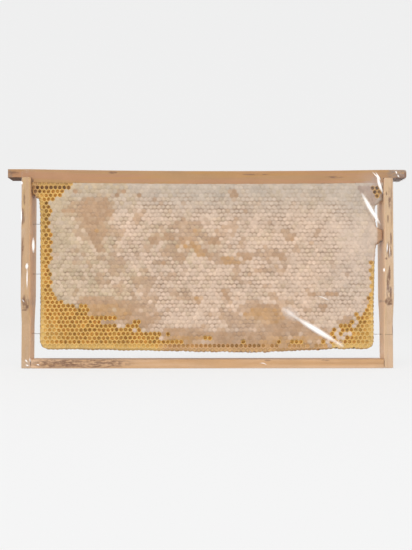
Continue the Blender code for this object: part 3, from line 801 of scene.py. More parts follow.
# ---------------------------------------------------------------- comb: pieces
def cappings(name, face, look):
    """The cappings of one face.

    Each capping has three rings and a middle point. The outer ring lies in the furrow, whose depth
    depends on the place alone, so neighbours meet. Inside it the level rises to a shoulder and a
    dome, lower and flatter where the capping is damp, and each one has its own height and tilt.
    """
    centres = lattice()
    capped = solid_level(face["side"] * CAP_LEVEL)
    centres = centres[~cell_is_open(centres, face, capped)]
    count = len(centres)
    x, z = centres.T
    seed = face["seed"]
    chance = np.random.default_rng(seed).uniform(-1.0, 1.0, (6, count))
    top = smooth((z - 0.1875) / 0.022)
    sides = smooth((np.abs(x + 0.004) - 0.120) / 0.060)
    calm = np.maximum(top, 0.75 * sides)
    clumps = 0.45 * wander(0.62 * x, z, 0.0120, seed + 1) + 0.50 * wander(0.62 * x, z, 0.0055, seed + 2)
    clumps += 0.30 * chance[0] + 0.46 * blotch(x, z, face["mottled"], seed + 13)
    mottled = smooth((clumps - 0.33 - 0.42 * calm) / 0.30)
    patch = blotch(x, z, face["damp"], seed + 3)
    islands = smooth((chance[1] - 0.95) / 0.03)
    damp = np.maximum(0.62 * mottled, (0.88 + 0.12 * chance[5]) * patch * (1.0 - 0.60 * islands))
    damp = np.clip(damp + 0.14 * np.maximum(chance[4], 0.0) * (1.0 - calm), 0.0, 1.0)
    sunken = blotch(x, z, face["sunken"], seed + 4, 0.0) if face["sunken"] else np.zeros(count)
    damp = np.maximum(damp, 0.95 * sunken)
    soaked = blotch(x, z, face["soaked"], seed + 5) * (1.0 - sunken)
    warm = 1.0 - smooth((z - 0.1665) / 0.048) - np.where(x < 0.0, 0.45, 0.32) * sides + 0.18 * wander(x, z, 0.022, seed + 6)
    warm = np.clip(warm, 0.0, 1.0)
    cream = smooth((-0.055 - x + 0.030 * wander(x, z, 0.016, seed + 10)) / 0.075)
    cream = 0.8 * cream + 0.30 * wander(x, z, 0.0105, seed + 11) + 0.38 * chance[3] - 0.06
    cream = np.clip(cream + 0.5 * blotch(x, z, face["gilded"], seed + 18), 0.0, 1.0)
    tone = 0.70 * chance[2] + 0.45 * wander(x, z, 0.018, seed + 7) + 0.45 * wander(x, z, 0.0065, seed + 16)
    mauve = mauve_share(centres) if face["side"] < 0 else np.zeros(count)
    smear = smooth((-0.132 - x + 0.016 * wander(x, z, 0.012, seed + 14)) / 0.016)
    smear = smear * smooth(0.5 + wander(x, z, 0.010, seed + 15) / 0.5)
    right = smooth((x - 0.160 + 0.016 * wander(x, z, 0.012, seed + 19)) / 0.020)
    smear = np.maximum(smear, 0.9 * right * smooth((z - 0.105) / 0.040))
    dome = look.dome * (1.0 + 0.60 * chance[3]) * (1.0 - 0.78 * damp) * (1.0 - 0.45 * top)
    dome = dome * (1.0 - 0.5 * smear) * (1.0 - 0.85 * mauve)
    stretch = np.stack((1.10 + 0.10 * chance[5], 0.90 + 0.08 * chance[0]), axis=1)
    jitter = 0.00030 * np.stack((chance[1], chance[4]), axis=1)
    inner_centres = centres + jitter * smooth((from_edge(centres)[0] - 0.003) / 0.002)[:, None]
    lift = 0.00016 * chance[4] - 0.00030 * damp - 0.00045 * sunken
    tilt = 0.075 * np.random.default_rng(seed + 8).uniform(-1.0, 1.0, (count, 2))

    outer, outer_distance = ring_points(centres, 1.0, 0.0)
    level, field = rim_level(outer, capped)
    broken = 0.58 + 0.34 * wander(outer[:, 0], outer[:, 1], 0.0095, seed + 9)
    broken += 0.62 * wander(0.7 * outer[:, 0], outer[:, 1], 0.0034, seed + 12)
    broken = np.clip(broken, 0.05, 1.25)
    flat_top = 1.0 - 0.55 * smooth((outer[:, 1] - 0.1895) / 0.020)
    flat_top = flat_top * np.repeat((1.0 - 0.5 * smear) * (1.0 - 0.85 * mauve), 12)
    furrow = np.tile(FURROW_SHARE, count) * broken * flat_top
    outer_level = rounded(level - look.groove * furrow * field, outer_distance, outer[:, 1])

    rings = [outer]
    levels = [outer_level]
    for size, roundness, swell in ((0.80, 0.35, 0.35), (0.46, 0.60, 0.86)):
        ring, distance = ring_points(inner_centres, size, roundness, stretch)
        level, _ = rim_level(ring, capped)
        own = np.repeat(lift + swell * dome, 12)
        slope = ((ring - np.repeat(centres, 12, axis=0)) * np.repeat(tilt, 12, axis=0)).sum(axis=1)
        squeeze = smooth(distance / 0.0030)
        rings.append(ring)
        levels.append(rounded(level + (own + slope) * squeeze, distance, ring[:, 1]))
    tips = inner_centres + drift(inner_centres)
    tip_distance, tip_place = from_edge(tips)
    tips = np.where((tip_distance < 0.0)[:, None], tip_place, tips)
    tip_distance = np.maximum(tip_distance, 0.0)
    level, _ = rim_level(tips, capped)
    tip_level = level + (lift + dome) * smooth(tip_distance / 0.0030)
    tip_level = rounded(tip_level, tip_distance, tips[:, 1])
    levels = [np.minimum(each, CAP_LEVEL) for each in levels]
    tip_level = np.minimum(tip_level, CAP_LEVEL)

    def everywhere(values):
        return [np.repeat(values, 12)] * 3 + [values]

    # Where the painted furrow shade lies: along the furrows, less where the cappings are calm.
    calmed = np.repeat(np.maximum.reduce((0.6 * patch, 0.6 * smear, mauve)), 12)
    painted_furrow_shade = [furrow * (1.0 - calmed), 0.30 * furrow * (1.0 - calmed),
                    np.zeros(count * 12), np.zeros(count)]
    bridge = [bridge_share(ring) for ring in rings] + [bridge_share(tips)]
    attributes = {"damp": everywhere(damp), "mauve": everywhere(mauve), "soaked": everywhere(soaked), "warm": everywhere(warm),
                  "cream": everywhere(cream), "tone": everywhere(tone), "furrow": painted_furrow_shade,
                  "bridge": bridge}
    return cell_mesh(name, face["side"], rings, levels, tips, tip_level, attributes)


def open_cells(name, face, look):
    """The open cells of one face.

    From the mouth each cell goes over a rim, down a wall that rounds the hexagon off, to a floor of
    honey with a hollow in its middle. Cells by the comb's edge are shallow.
    """
    centres = lattice()
    capped = solid_level(face["side"] * CAP_LEVEL)
    centres = centres[cell_is_open(centres, face, capped)]
    count = len(centres)
    x, z = centres.T
    seed = face["seed"] + 20
    chance = np.random.default_rng(seed).uniform(-1.0, 1.0, (3, count))
    middles = centres + drift(centres)
    edge_distance, edge_place = from_edge(middles)
    young = smooth((0.0900 - z) / 0.0300)
    reach = smooth((edge_distance - 0.0018) / (0.0052 + 0.0033 * young))
    shallow = blotch(x, z, face["pale"], seed + 2)
    depth = look.cell_depth * (0.22 + 0.78 * reach) * (1.0 + 0.18 * chance[0]) * (1.0 - 0.30 * shallow)
    depth = np.minimum(depth, look.cell_depth * 1.15)
    old = smooth((-0.1840 - x) / 0.0040) * smooth((0.2000 - z) / 0.0080) * smooth((z - 0.1250) / 0.0500)
    tone = 0.8 * chance[1] + 0.5 * wander(x, z, 0.012, seed + 1) - 1.6 * old
    pale = (0.30 + 0.25 * young) * (1.0 - smooth((edge_distance - 0.0010) / (0.0042 + 0.0020 * young)))
    pale = np.maximum(pale, 0.28 * shallow)

    rings = []
    levels = []
    inner = 1.0 - look.rim / (CELL_PITCH / 2)
    # size of the ring, its roundness, how deep it lies in rims and in depths, colour depth
    steps = ((1.00, 0.0, 0.0, 0.0, 0.0), (inner, 0.45, 0.35, 0.0, 0.10),
             (inner - 0.05, 0.62, 0.6, 0.16, 0.38), (inner - 0.13, 0.75, 0.0, 1.0, 0.95))
    depth_rings = []
    for size, roundness, rims, depths, shade in steps:
        ring, distance = ring_points(centres, size, roundness)
        level, _ = rim_level(ring, capped)
        level = rounded(level, distance, ring[:, 1])
        levels.append(level - rims * look.rim - depths * np.repeat(depth, 12))
        rings.append(ring)
        depth_rings.append(np.full(count * 12, shade) * np.repeat(0.35 + 0.65 * reach, 12))
    tips = np.where((edge_distance < 0.0)[:, None], edge_place, middles)
    level, _ = rim_level(tips, capped)
    tip_level = rounded(level, np.maximum(edge_distance, 0.0), z) - depth - 0.0003
    depth_rings.append(0.35 + 0.65 * reach)

    def everywhere(values):
        return [np.repeat(values, 12)] * 4 + [values]

    bridge = [0.55 * bridge_share(ring) for ring in rings] + [0.55 * bridge_share(tips)]
    dark = dark_share(centres) if face["side"] < 0 else np.zeros(count)
    honeyed = foot_share(centres)
    attributes = {"depth": depth_rings, "tone": everywhere(tone),
                  "pale": everywhere(pale * (1.0 - honeyed) * (1.0 - dark)),
                  "bridge": bridge, "dark": everywhere(dark), "foot": everywhere(honeyed)}
    return cell_mesh(name, face["side"], rings, levels, tips, tip_level, attributes)


def comb_edge(look):
    """The comb's edge: the scalloped outline carried from one face to the other, swollen between.

    Across the comb the profile is a shallow arch. Its two ends dip under the faces' rounded edges.
    """
    outline = resample(FINE_OUTLINE, FINE_STEP)
    outline[:, 1] = np.minimum(outline[:, 1], COMB_HIGH[2] + 0.0002 - bar_sag(outline[:, 0]))
    normal = outward(outline)
    across = np.linspace(-1.0, 1.0, 15)
    tucked = np.clip((np.abs(across) - 0.93) / 0.07, 0.0, 1.0)
    x, z = outline.T
    free = smooth((COMB_HIGH[0] - 0.0015 - np.abs(x)) / 0.003) * smooth((COMB_HIGH[2] - 0.003 - z) / 0.003)
    arch = 0.0007 * (1.0 - across ** 2)
    lumps = 0.00035 * wander(x[None] * 1.0 + 0.37 * z[None], across[:, None] * 0.010, 0.0035, 71)
    ragged = 0.0007 * wander(x[None], across[:, None] * 0.006, 0.0026, 72) * foot_share(outline)[None]
    push = (arch[:, None] + lumps + ragged) * free[None] - 0.00030 * tucked[:, None]
    y = across * (EDGE_LEVEL + 0.0004)
    points = np.empty((len(across), len(outline), 3))
    points[:, :, 0] = x[None] + normal[None, :, 0] * push
    points[:, :, 1] = y[:, None]
    points[:, :, 2] = z[None] + normal[None, :, 1] * push
    rows = 0.5 - 0.5 * np.cos(2 * np.pi * (z - TOP_ROW) / ROW_PITCH)
    columns = 0.5 - 0.5 * np.cos(2 * np.pi * x / CELL_PITCH)
    furrow = rows * np.abs(normal[:, 0]) + columns * np.abs(normal[:, 1])
    layers = {"furrow": np.tile(furrow, len(across)),
              "bridge": np.tile(bridge_share(outline), len(across)),
              "foot": np.tile(foot_share(outline), len(across))}
    faces = grid_faces(len(across), len(outline), closed_columns=True, flip=True)
    piece = build_mesh("comb_edge", points.reshape(-1, 3), [faces], layers)
    wear(piece, comb_edge_finish(look))
    return piece


# ---------------------------------------------------------------- wood and wire
# Spots on the bars are x, z, half width, half height.
TOP_STAINS = ((-0.2290, 0.2295, 0.0080, 0.0030),
              (0.2300, 0.2260, 0.0080, 0.0030), (-0.1120, 0.2305, 0.0060, 0.0018),
              (0.0560, 0.2285, 0.0180, 0.0010), (0.1500, 0.2255, 0.0120, 0.0014))
# The first mark darkens the corner where the left end bar meets the top bar, and the last one is a dark line along
# the lower edge of the left lug's front face.
TOP_MARKS = ((-0.2060, 0.2200, 0.0016, 0.0040), (0.2040, 0.2240, 0.0010, 0.0016),
             (0.2285, 0.2246, 0.0080, 0.0022), (0.2338, 0.2270, 0.0022, 0.0050),
             (-0.2270, 0.2242, 0.0090, 0.0009))
TOP_WEATHERED = ((0.2250, 0.2295, 0.0135, 0.0080), (-0.2350, 0.2285, 0.0060, 0.0060))
TOP_WAXED = ((0.1900, 0.2170, 0.0085, 0.0045), (0.1985, 0.2215, 0.0050, 0.0060))
# The first left stain darkens the bar where a dark wrinkle of the film lies over it.
LEFT_STAINS = ((-0.2146, 0.1785, 0.0018, 0.0100), (-0.2155, 0.1435, 0.0016, 0.0120),
               (-0.2140, 0.2015, 0.0014, 0.0120), (-0.2120, 0.0775, 0.0050, 0.0100))
LEFT_MARKS = ((-0.2159, 0.1770, 0.0011, 0.0105), (-0.2165, 0.1330, 0.0006, 0.0260),
              (-0.2140, 0.0800, 0.0019, 0.0026), (-0.2102, 0.0727, 0.0018, 0.0022),
              (-0.2135, 0.0687, 0.0034, 0.0008), (-0.2158, 0.1387, 0.0009, 0.0012))
RIGHT_STAINS = ((0.2113, 0.0945, 0.0030, 0.0210), (0.2120, 0.0790, 0.0042, 0.0060),
                (0.2120, 0.1395, 0.0030, 0.0110), (0.2130, 0.2015, 0.0020, 0.0150),
                (0.2155, 0.1915, 0.0012, 0.0250))
RIGHT_MARKS = ((0.2125, 0.1120, 0.0014, 0.0090), (0.2103, 0.0985, 0.0009, 0.0070),
               (0.2138, 0.0890, 0.0012, 0.0070), (0.2097, 0.2055, 0.0008, 0.0026), (0.2132, 0.1977, 0.0013, 0.0030),
               (0.2112, 0.1753, 0.0009, 0.0050), (0.2146, 0.1525, 0.0009, 0.0080),
               (0.2144, 0.1355, 0.0008, 0.0050), (0.2088, 0.1290, 0.0012, 0.0016),
               (0.2130, 0.0760, 0.0030, 0.0014), (0.2085, 0.0790, 0.0010, 0.0030),
               (0.2171, 0.0445, 0.0005, 0.0060))
LOW_STAINS = ((-0.1350, 0.0065, 0.0520, 0.0062), (-0.1780, 0.0062, 0.0300, 0.0060),
              (0.0700, 0.0097, 0.0040, 0.0010), (0.1380, 0.0097, 0.0050, 0.0010))
LOW_MARKS = ((-0.2068, 0.0067, 0.0008, 0.0040), (0.2070, 0.0067, 0.0006, 0.0050))


def near(finish, axes, spot):
    """Squared distance from a spot on a bar, 1 at its border. A spot is (x, z, half width, height)."""
    x, z, half_width, half_height = spot
    across = (axes[0] - x) * (1.0 / half_width)
    up = (axes[2] - z) * (1.0 / half_height)
    return across * across + up * up


def wood_finish(name, look, base, band, rose, along, stains=(), marks=(), weathered=(), waxed=(),
                inside=None, seed=0.0):
    """Planed softwood: growth lines and broad bands run along one axis.

    Stains are mottled, marks are dark throughout, and weathered spots are grey and bruised.
    """
    wood = Finish(name)
    axes = wood.axes()
    stretch = [240.0, 240.0, 240.0]
    stretch[along] = 8.0
    broad = [95.0, 95.0, 95.0]
    broad[along] = 5.0
    shift = (0.37 + seed, 0.11, 0.53 + seed)
    lines = wood.noise(wood.place(tuple(stretch), shift), 1.0, 4.0, 0.6, 0.4)
    bands = wood.noise(wood.place(tuple(broad), shift), 1.0, 2.0, 0.5, 0.6)
    rosy = wood.noise(wood.place(tuple(broad), (0.71 + seed, 0.2, 0.9)), 1.0, 2.0, 0.5, 0.6)
    fibre = wood.noise(wood.place(tuple(6 * each for each in stretch), shift), 1.0, 2.0, 0.6)
    cloud = wood.noise(wood.place(shift=shift), 34.0, 3.0, 0.6)
    smear = [420.0, 420.0, 420.0]
    smear[along] = 130.0
    dirt = wood.noise(wood.place(tuple(smear), shift), 1.0, 5.0, 0.75)
    colour = wood.mix(base, band, wood.step(bands, 0.42, 0.62) * 0.85)
    colour = wood.mix(colour, rose, wood.step(rosy, 0.44, 0.62) * 0.80)
    # Painted light: the faces towards the comb take the lighter inside colour, standing in for the light that
    # reaches them.
    if inside:
        outer = wood.step(axes[0] * axes[0], (END_INNER + 0.0002) ** 2, (END_INNER + 0.0006) ** 2)
        colour = wood.mix(inside, colour, outer)
    colour = wood.mix(colour, tuple(look.grain), wood.step(lines, 0.50, 0.74) * 0.55)
    colour = wood.mix(colour, tuple(look.stain_and_shade), wood.step(dirt, 0.60, 0.72) * wood.step(cloud, 0.5, 0.7) * 0.5)
    bruise = 0.0
    for spot in weathered:
        share = (1.0 - wood.step(near(wood, axes, spot), 0.55, 1.20)) * wood.step(dirt, 0.36, 0.60)
        colour = wood.mix(colour, tuple(look.weathered), share)
        bruise = share + bruise
    for spot in waxed:
        share = 1.0 - wood.step(near(wood, axes, spot) + (dirt + cloud - 1.0) * 2.2, 0.20, 1.30)
        colour = wood.mix(colour, tuple(look.waxed), share * 0.6)
    for spot in stains:
        share = (1.0 - wood.step(near(wood, axes, spot), 0.35, 1.15)) * wood.step(dirt, 0.38, 0.58)
        colour = wood.mix(colour, tuple(look.stain_and_shade), share * 0.85)
    for spot in marks:
        border = near(wood, axes, spot) + (dirt - 0.5) * 3.4
        colour = wood.mix(colour, tuple(look.stain_and_shade), (1.0 - wood.step(border, 0.40, 1.20)) * 0.90)
    # Painted shade: the undersides of the lugs are turned to the stain colour and darkened further, for the shade
    # under them.
    lug_underside_shade = (1.0 - wood.step(axes[2], LUG_UNDERSIDE + 0.0004, LUG_UNDERSIDE + 0.0012))
    outside = wood.step(axes[0] * axes[0], (END_OUTER + 0.0002) ** 2, (END_OUTER + 0.0008) ** 2)
    colour = wood.mix(colour, tuple(look.stain_and_shade), lug_underside_shade * outside)
    shade = (fibre - 0.5) * 0.16 + (cloud - 0.5) * 0.30 + (dirt - 0.5) * bruise * 0.9 + 1.0
    shade = shade - lug_underside_shade * outside * 0.42
    colour = wood.brighten(colour, shade)
    bump = wood.bump(lines * 0.6 + fibre * 0.4, 0.3, 0.0006)
    gloss = 0.50 + (lines - 0.5) * 0.2 + lug_underside_shade * outside * 0.4
    return wood.done(wood.shader(Base_Color=colour, Roughness=gloss, Normal=bump))


def wire_piece(name, path, thickness):
    """A round wire: a circle of eight points carried along a path, with closed ends."""
    path = np.array(path)
    along = np.gradient(path, axis=0)
    along /= np.linalg.norm(along, axis=1, keepdims=True)
    first = np.cross(along, (0.0, 0.13, 1.0))
    first /= np.linalg.norm(first, axis=1, keepdims=True)
    second = np.cross(along, first)
    angle = np.linspace(0.0, 2 * np.pi, 8, endpoint=False)
    circle = np.cos(angle)[None, :, None] * first[:, None] + np.sin(angle)[None, :, None] * second[:, None]
    points = path[:, None] + circle * thickness / 2
    faces = grid_faces(len(path), 8, closed_columns=True)
    caps = np.array((np.arange(8)[::-1], np.arange(8) + 8 * (len(path) - 1)))
    return build_mesh(name, points.reshape(-1, 3), [faces, caps])


# ---------------------------------------------------------------- film
SIDE_POINTS = (6, 14, 8, 40, 5, 7, 5, 40, 8, 14)   # points along each side of the film's section
FOLD_RADIUS = 0.0006
CREASE_PROUD = 0.0005           # how far a crease may stand out past the solid film

# Whitish places on the front of the film, partly real haze and partly painted reflection: x, z, how wide and high,
# and how strong.
HAZE_AND_SHEEN_SPOTS = ((0.1920, 0.2190, 0.0110, 0.0120, 0.16), (-0.2090, 0.0050, 0.0090, 0.0060, 0.20),
              (0.2260, 0.2285, 0.0100, 0.0090, 0.08), (0.1750, 0.1500, 0.0330, 0.0650, 0.09))

# Creases, white partly from real whitening and partly as painted highlight: start x, z, end x, z, half width,
# height, bend, and how much haze lies beside each.
CREASES = (
    (0.0985, 0.0627, 0.1560, 0.0277, 0.0040, 0.0008, 0.0000, 0.30),
    (0.0860, 0.0720, 0.1080, 0.0565, 0.0030, 0.0003, 0.0004, 2.20),
    (0.1480, 0.0330, 0.1600, 0.0250, 0.0018, 0.0003, 0.0002, 2.20),
    (0.1795, 0.2080, 0.2030, 0.1675, 0.0029, 0.0008, -0.0008, 0.30),
    (0.1985, 0.2290, 0.2058, 0.2045, 0.0022, 0.0006, -0.0010, 0.20),
    (0.1935, 0.2320, 0.2030, 0.2205, 0.0008, 0.0004, -0.0002, 0.10),
    (0.1974, 0.2320, 0.2032, 0.2205, 0.0009, 0.0004, -0.0002, 0.10),
    (-0.2171, 0.1880, -0.2170, 0.1685, 0.0009, 0.0005, 0.0000, 0.10),
    (-0.2174, 0.2190, -0.2164, 0.2150, 0.0014, 0.0006, 0.0000, 0.10),
    (-0.2031, 0.1540, -0.2030, 0.1340, 0.0019, 0.0008, 0.0000, 0.20),
    (-0.2102, 0.1240, -0.2106, 0.1155, 0.0021, 0.0009, 0.0000, 0.10),
    (-0.2100, 0.1195, -0.2101, 0.0915, 0.0009, 0.0004, 0.0000, 0.10),
    (-0.2158, 0.0815, -0.2130, 0.0775, 0.0006, 0.0004, 0.0000, 0.00),
    (-0.2130, 0.0115, -0.2100, 0.0075, 0.0009, 0.0005, 0.0000, 0.10),
    (-0.2125, 0.0050, -0.2080, 0.0037, 0.0008, 0.0004, 0.0000, 0.10),
    (-0.2074, 0.0135, -0.2070, 0.0075, 0.0006, 0.0004, 0.0000, 0.00),
    (-0.2000, 0.0055, -0.1955, 0.0045, 0.0008, 0.0004, 0.0000, 0.10),
    (0.0600, 0.0067, 0.0700, 0.0039, 0.0006, 0.0004, 0.0012, 0.00),
    (0.2060, 0.1183, 0.2060, 0.1127, 0.0013, 0.0006, 0.0000, 0.10),
    (0.2098, 0.1490, 0.2092, 0.1345, 0.0008, 0.0005, 0.0003, 0.40),
    (0.2118, 0.1470, 0.2130, 0.1285, 0.0005, 0.0004, 0.0003, 0.60),
    (0.2218, 0.2331, 0.2228, 0.2283, 0.0010, 0.0005, 0.0000, 0.10),
    (0.2230, 0.2281, 0.2248, 0.2241, 0.0008, 0.0005, 0.0000, 0.10),
    (0.1990, 0.0415, 0.2000, 0.0375, 0.0005, 0.0002, 0.0000, 0.00),
    (0.1280, 0.0855, 0.1430, 0.0795, 0.0006, 0.0003, 0.0006, 0.60),
)


def film_sections(x, clearance):
    """The ten corners of the film's section at each x.

    The film rests on the comb in the middle and climbs to the shoulders of the end bars. Low down
    it keeps to the comb until it drops to an end bar's foot.
    """
    lift = smooth((np.abs(x) - 0.118) / (END_INNER - 0.118))
    drop = smooth((np.abs(x) - 0.1965) / (END_INNER - 0.1965))
    foot_y = np.full(x.shape, HALF_BAR)
    foot_z = np.full(x.shape, WOOD_BASE - clearance)
    low_y = CAP_LEVEL + (HALF_BAR - CAP_LEVEL) * drop
    low_z = 0.0275 + (WOOD_BASE + 0.0515 - 0.0275) * lift
    waist_y = CAP_LEVEL + (HALF_SHOULDER - CAP_LEVEL) * lift
    waist_z = np.full(x.shape, WOOD_BASE + 0.0815)
    high_z = 0.2145 + (LUG_UNDERSIDE - 0.2145) * lift
    head_z = WOOD_TOP - bar_sag(x) + clearance
    y = np.stack((foot_y, low_y, waist_y, waist_y, foot_y), axis=1) + clearance
    z = np.stack((foot_z, low_z, waist_z, high_z, head_z), axis=1)
    # front lower corner first, then along the underside to the back, up and over
    y = np.hstack((-y[:, :1], y, -y[:, :0:-1]))
    z = np.hstack((z[:, :1], z, z[:, :0:-1]))
    return np.stack((y, z), axis=2)


def walk_section(corners, radius):
    """Points round each section, with every corner cut at radius on both sides and eased between."""
    following = np.roll(corners, -1, axis=1)
    side = following - corners
    length = np.linalg.norm(side, axis=2, keepdims=True)
    direction = side / length
    start = corners + direction * np.minimum(radius, 0.3 * length)
    end = following - direction * np.minimum(radius, 0.3 * length)
    parts = []
    for index, count in enumerate(SIDE_POINTS):
        share = np.linspace(0.0, 1.0, count)[None, :, None]
        parts.append(start[:, index:index + 1] * (1 - share) + end[:, index:index + 1] * share)
        corner = following[:, index:index + 1]
        before = end[:, index:index + 1]
        after = np.roll(start, -1, axis=1)[:, index:index + 1]
        parts.append(0.5 * corner + 0.25 * before + 0.25 * after)
    return np.concatenate(parts, axis=1)


def film_finish(name, show, veil, crease, glint):
    """Clear film: it shows where it turns away, where it is hazy and where highlights and sheen are painted on it,
    and in its reflections.
    """
    film = Finish(name)
    ripple = film.noise(film.place(scale=(1.0, 1.0, 0.35)), 120.0, 2.0, 0.5, 0.8)
    facing = film.out(film.node("ShaderNodeLayerWeight", None, {"Blend": 0.25}), "Facing")
    haze_and_painted_sheen = film.attribute("haze_and_painted_sheen")
    # Painted highlight and sheen, partly real haze: the attribute turns the film white on creases, wrinkles and
    # some spots.
    share = veil + facing ** 3.0 * 0.30 + haze_and_painted_sheen * crease
    bump = film.bump(ripple, 0.12, 0.002)
    solid = film.shader(Base_Color=linear(show), Roughness=0.10, Normal=bump, IOR=1.5,
                        Emission_Color=linear(show), Emission_Strength=glint)
    return film.done(film.see_through(solid, share.clamped()))


# ---------------------------------------------------------------- operators
class HONEYCOMB_OT_stage(bpy.types.Operator):
    """Makes the floor with its backdrop, the lights and the camera"""

    bl_idname = "honeycomb.stage"
    bl_label = "Stage, Lights and Camera"

    def execute(self, context):
        look = context.scene.honeycomb_stage
        self.floor(look)
        self.lights(context, look)
        self.camera(context, look)
        return {"FINISHED"}

    def floor(self, look):
        """A round floor that rises all round: flat, a quarter circle, and a straight wall."""
        turn = np.linspace(0.0, np.pi / 2, 16)
        out = np.concatenate(([0.0001, 0.5, 1.2, 2.0], 2.6 + 1.4 * np.sin(turn), [4.0]))
        up = np.concatenate(([0.0, 0.0, 0.0, 0.0], 1.4 - 1.4 * np.cos(turn), [3.2]))
        angle = np.linspace(0.0, 2 * np.pi, 72, endpoint=False)
        points = np.stack((out[:, None] * np.cos(angle), out[:, None] * np.sin(angle),
                           np.tile(up[:, None], (1, len(angle)))), axis=2)
        mesh = bpy.data.meshes.new("studio_floor")
        faces = grid_faces(len(out), len(angle), closed_columns=True, flip=True)
        mesh.from_pydata(points.reshape(-1, 3).tolist(), [], faces.tolist())
        mesh.polygons.foreach_set("use_smooth", np.full(len(faces), True))
        floor = bpy.data.objects.new("studio_floor", mesh)
        bpy.context.scene.collection.objects.link(floor)
        paper = Finish("studio_paper")
        own = paper.out(paper.node("ShaderNodeEmission", None,
                                   {"Color": linear(tuple(look.floor)), "Strength": look.glow}))
        lit = paper.out(paper.node("ShaderNodeBsdfDiffuse", None,
                                   {"Color": (*[(1 - look.glow) * 0.95] * 3, 1.0)}))
        both = paper.out(paper.node("ShaderNodeAddShader", None, {0: own, 1: lit}))
        wear(floor, paper.done(both))

    def lights(self, context, look):
        world = bpy.data.worlds.new("studio_sky")
        world.use_nodes = True
        sky = world.node_tree.nodes["Background"]
        sky.inputs["Color"].default_value = (0.98, 0.99, 1.0, 1.0)
        sky.inputs["Strength"].default_value = look.sky
        context.scene.world = world
        for name, place, size, power in (("key_light", (-0.20, -1.10, 1.75), 1.2, look.key),
                                         ("right_light", (1.35, -1.30, 0.35), 1.4, look.fill),
                                         ("left_light", (-1.35, -1.30, 0.35), 1.4, look.fill)):
            lamp = bpy.data.lights.new(name, "AREA")
            lamp.shape = "SQUARE"
            lamp.size = size
            lamp.energy = power
            light = bpy.data.objects.new(name, lamp)
            context.scene.collection.objects.link(light)
            light.location = place
            aim = Vector((0.0, 0.0, 0.11)) - Vector(place)
            light.rotation_euler = aim.to_track_quat("-Z", "Y").to_euler()

    def camera(self, context, look):
        lens = bpy.data.cameras.new("view")
        lens.sensor_fit = "AUTO"
        lens.sensor_width = 36.0
        lens.lens = look.focal
        lens.clip_start = 0.05
        camera = bpy.data.objects.new("view", lens)
        context.scene.collection.objects.link(camera)
        turn = Matrix.Rotation(CAMERA_YAW, 4, "Z") @ Matrix.Rotation(math.pi / 2 + CAMERA_PITCH, 4, "X")
        camera.matrix_world = Matrix.Translation((CAMERA_X, -look.distance, CAMERA_HEIGHT)) @ turn
        context.scene.camera = camera
        context.scene.view_settings.view_transform = "Standard"
        context.scene.view_settings.look = "None"


CAMERA_X = -0.0126
CAMERA_HEIGHT = 0.0796
CAMERA_YAW = math.radians(-0.674)
CAMERA_PITCH = math.radians(1.933)
FOCAL_LENGTH = 49.9


class HONEYCOMB_OT_wood(bpy.types.Operator):
    """Gives the four bars of the frame their wood"""

    bl_idname = "honeycomb.wood"
    bl_label = "Wooden Bars"

    def execute(self, context):
        look = context.scene.honeycomb_wood
        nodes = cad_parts
        top = (tuple(look.top_bar), tuple(look.top_band), tuple(look.top_rose))
        left = (tuple(look.left_bar), tuple(look.left_band), tuple(look.left_bar))
        right = (tuple(look.right_bar), tuple(look.right_band), tuple(look.right_bar))
        low = (tuple(look.bottom_bar), tuple(look.bottom_band), tuple(look.bottom_bar))
        wear(nodes["top_bar"], wood_finish("top_bar_wood", look, *top, 0, TOP_STAINS, TOP_MARKS,
                                           TOP_WEATHERED, TOP_WAXED, None, 0.0))
        wear(nodes["end_bar_left"], wood_finish("left_bar_wood", look, *left, 2, LEFT_STAINS,
                                                LEFT_MARKS, (), (), tuple(look.left_inside_painted_light), 0.4))
        wear(nodes["end_bar_right"], wood_finish("right_bar_wood", look, *right, 2, RIGHT_STAINS,
                                                 RIGHT_MARKS, (), (), tuple(look.right_inside_painted_light), 0.9))
        wear(nodes["bottom_bar"], wood_finish("bottom_bar_wood", look, *low, 0, LOW_STAINS,
                                              LOW_MARKS, (), (), None, 1.3))
        return {"FINISHED"}


class HONEYCOMB_OT_wires(bpy.types.Operator):
    """Makes the support wires that cross the gaps beside the comb"""

    bl_idname = "honeycomb.wires"
    bl_label = "Support Wires"

    def execute(self, context):
        look = context.scene.honeycomb_wood
        steel = Finish("wire_steel")
        tarnish = steel.noise(steel.place(), 1500.0, 2.0, 0.6)
        colour = steel.brighten(steel.mix(tuple(look.wire), tuple(look.stain_and_shade), tarnish), 1.0)
        material = steel.done(steel.shader(Base_Color=colour, Metallic=0.7, Roughness=0.42))
        for name in ("wire_left_upper", "wire_left_middle", "wire_left_lower", "wire_right_lower"):
            low, high = np.array(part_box(name))
            side = math.copysign(1.0, low[0])
            height = (low[2] + high[2]) / 2
            thickness = high[2] - low[2]
            into_comb = (low[0] if side > 0 else high[0]) - side * 0.0012
            x = np.linspace(into_comb, side * (END_INNER + 0.0010), 12)
            sag = 0.00025 * np.sin(np.linspace(0.0, np.pi, 12))
            path = np.stack((x, np.zeros(12), height - sag), axis=1)
            piece = wire_piece(name + "_stretch", path, thickness)
            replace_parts(piece, name)
            wear(piece, material)
        reach = np.linspace(END_INNER + 0.0006, END_OUTER - 0.0006, 10)
        path = np.stack((reach, np.full(10, -HALF_BAR - 0.00005), np.full(10, 0.0400)), axis=1)
        wear(wire_piece("wire_over_right_bar", path, 0.00035), material)
        return {"FINISHED"}


class HONEYCOMB_OT_cappings(bpy.types.Operator):
    """Makes the wax cappings on both faces of the comb"""

    bl_idname = "honeycomb.cappings"
    bl_label = "Cappings"

    def execute(self, context):
        look = context.scene.honeycomb_comb
        material = capping_finish(look)
        for name, face in FACES.items():
            piece = cappings("cappings_" + name, face, look)
            wear(piece, material)
            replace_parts(piece, "comb")
        return {"FINISHED"}


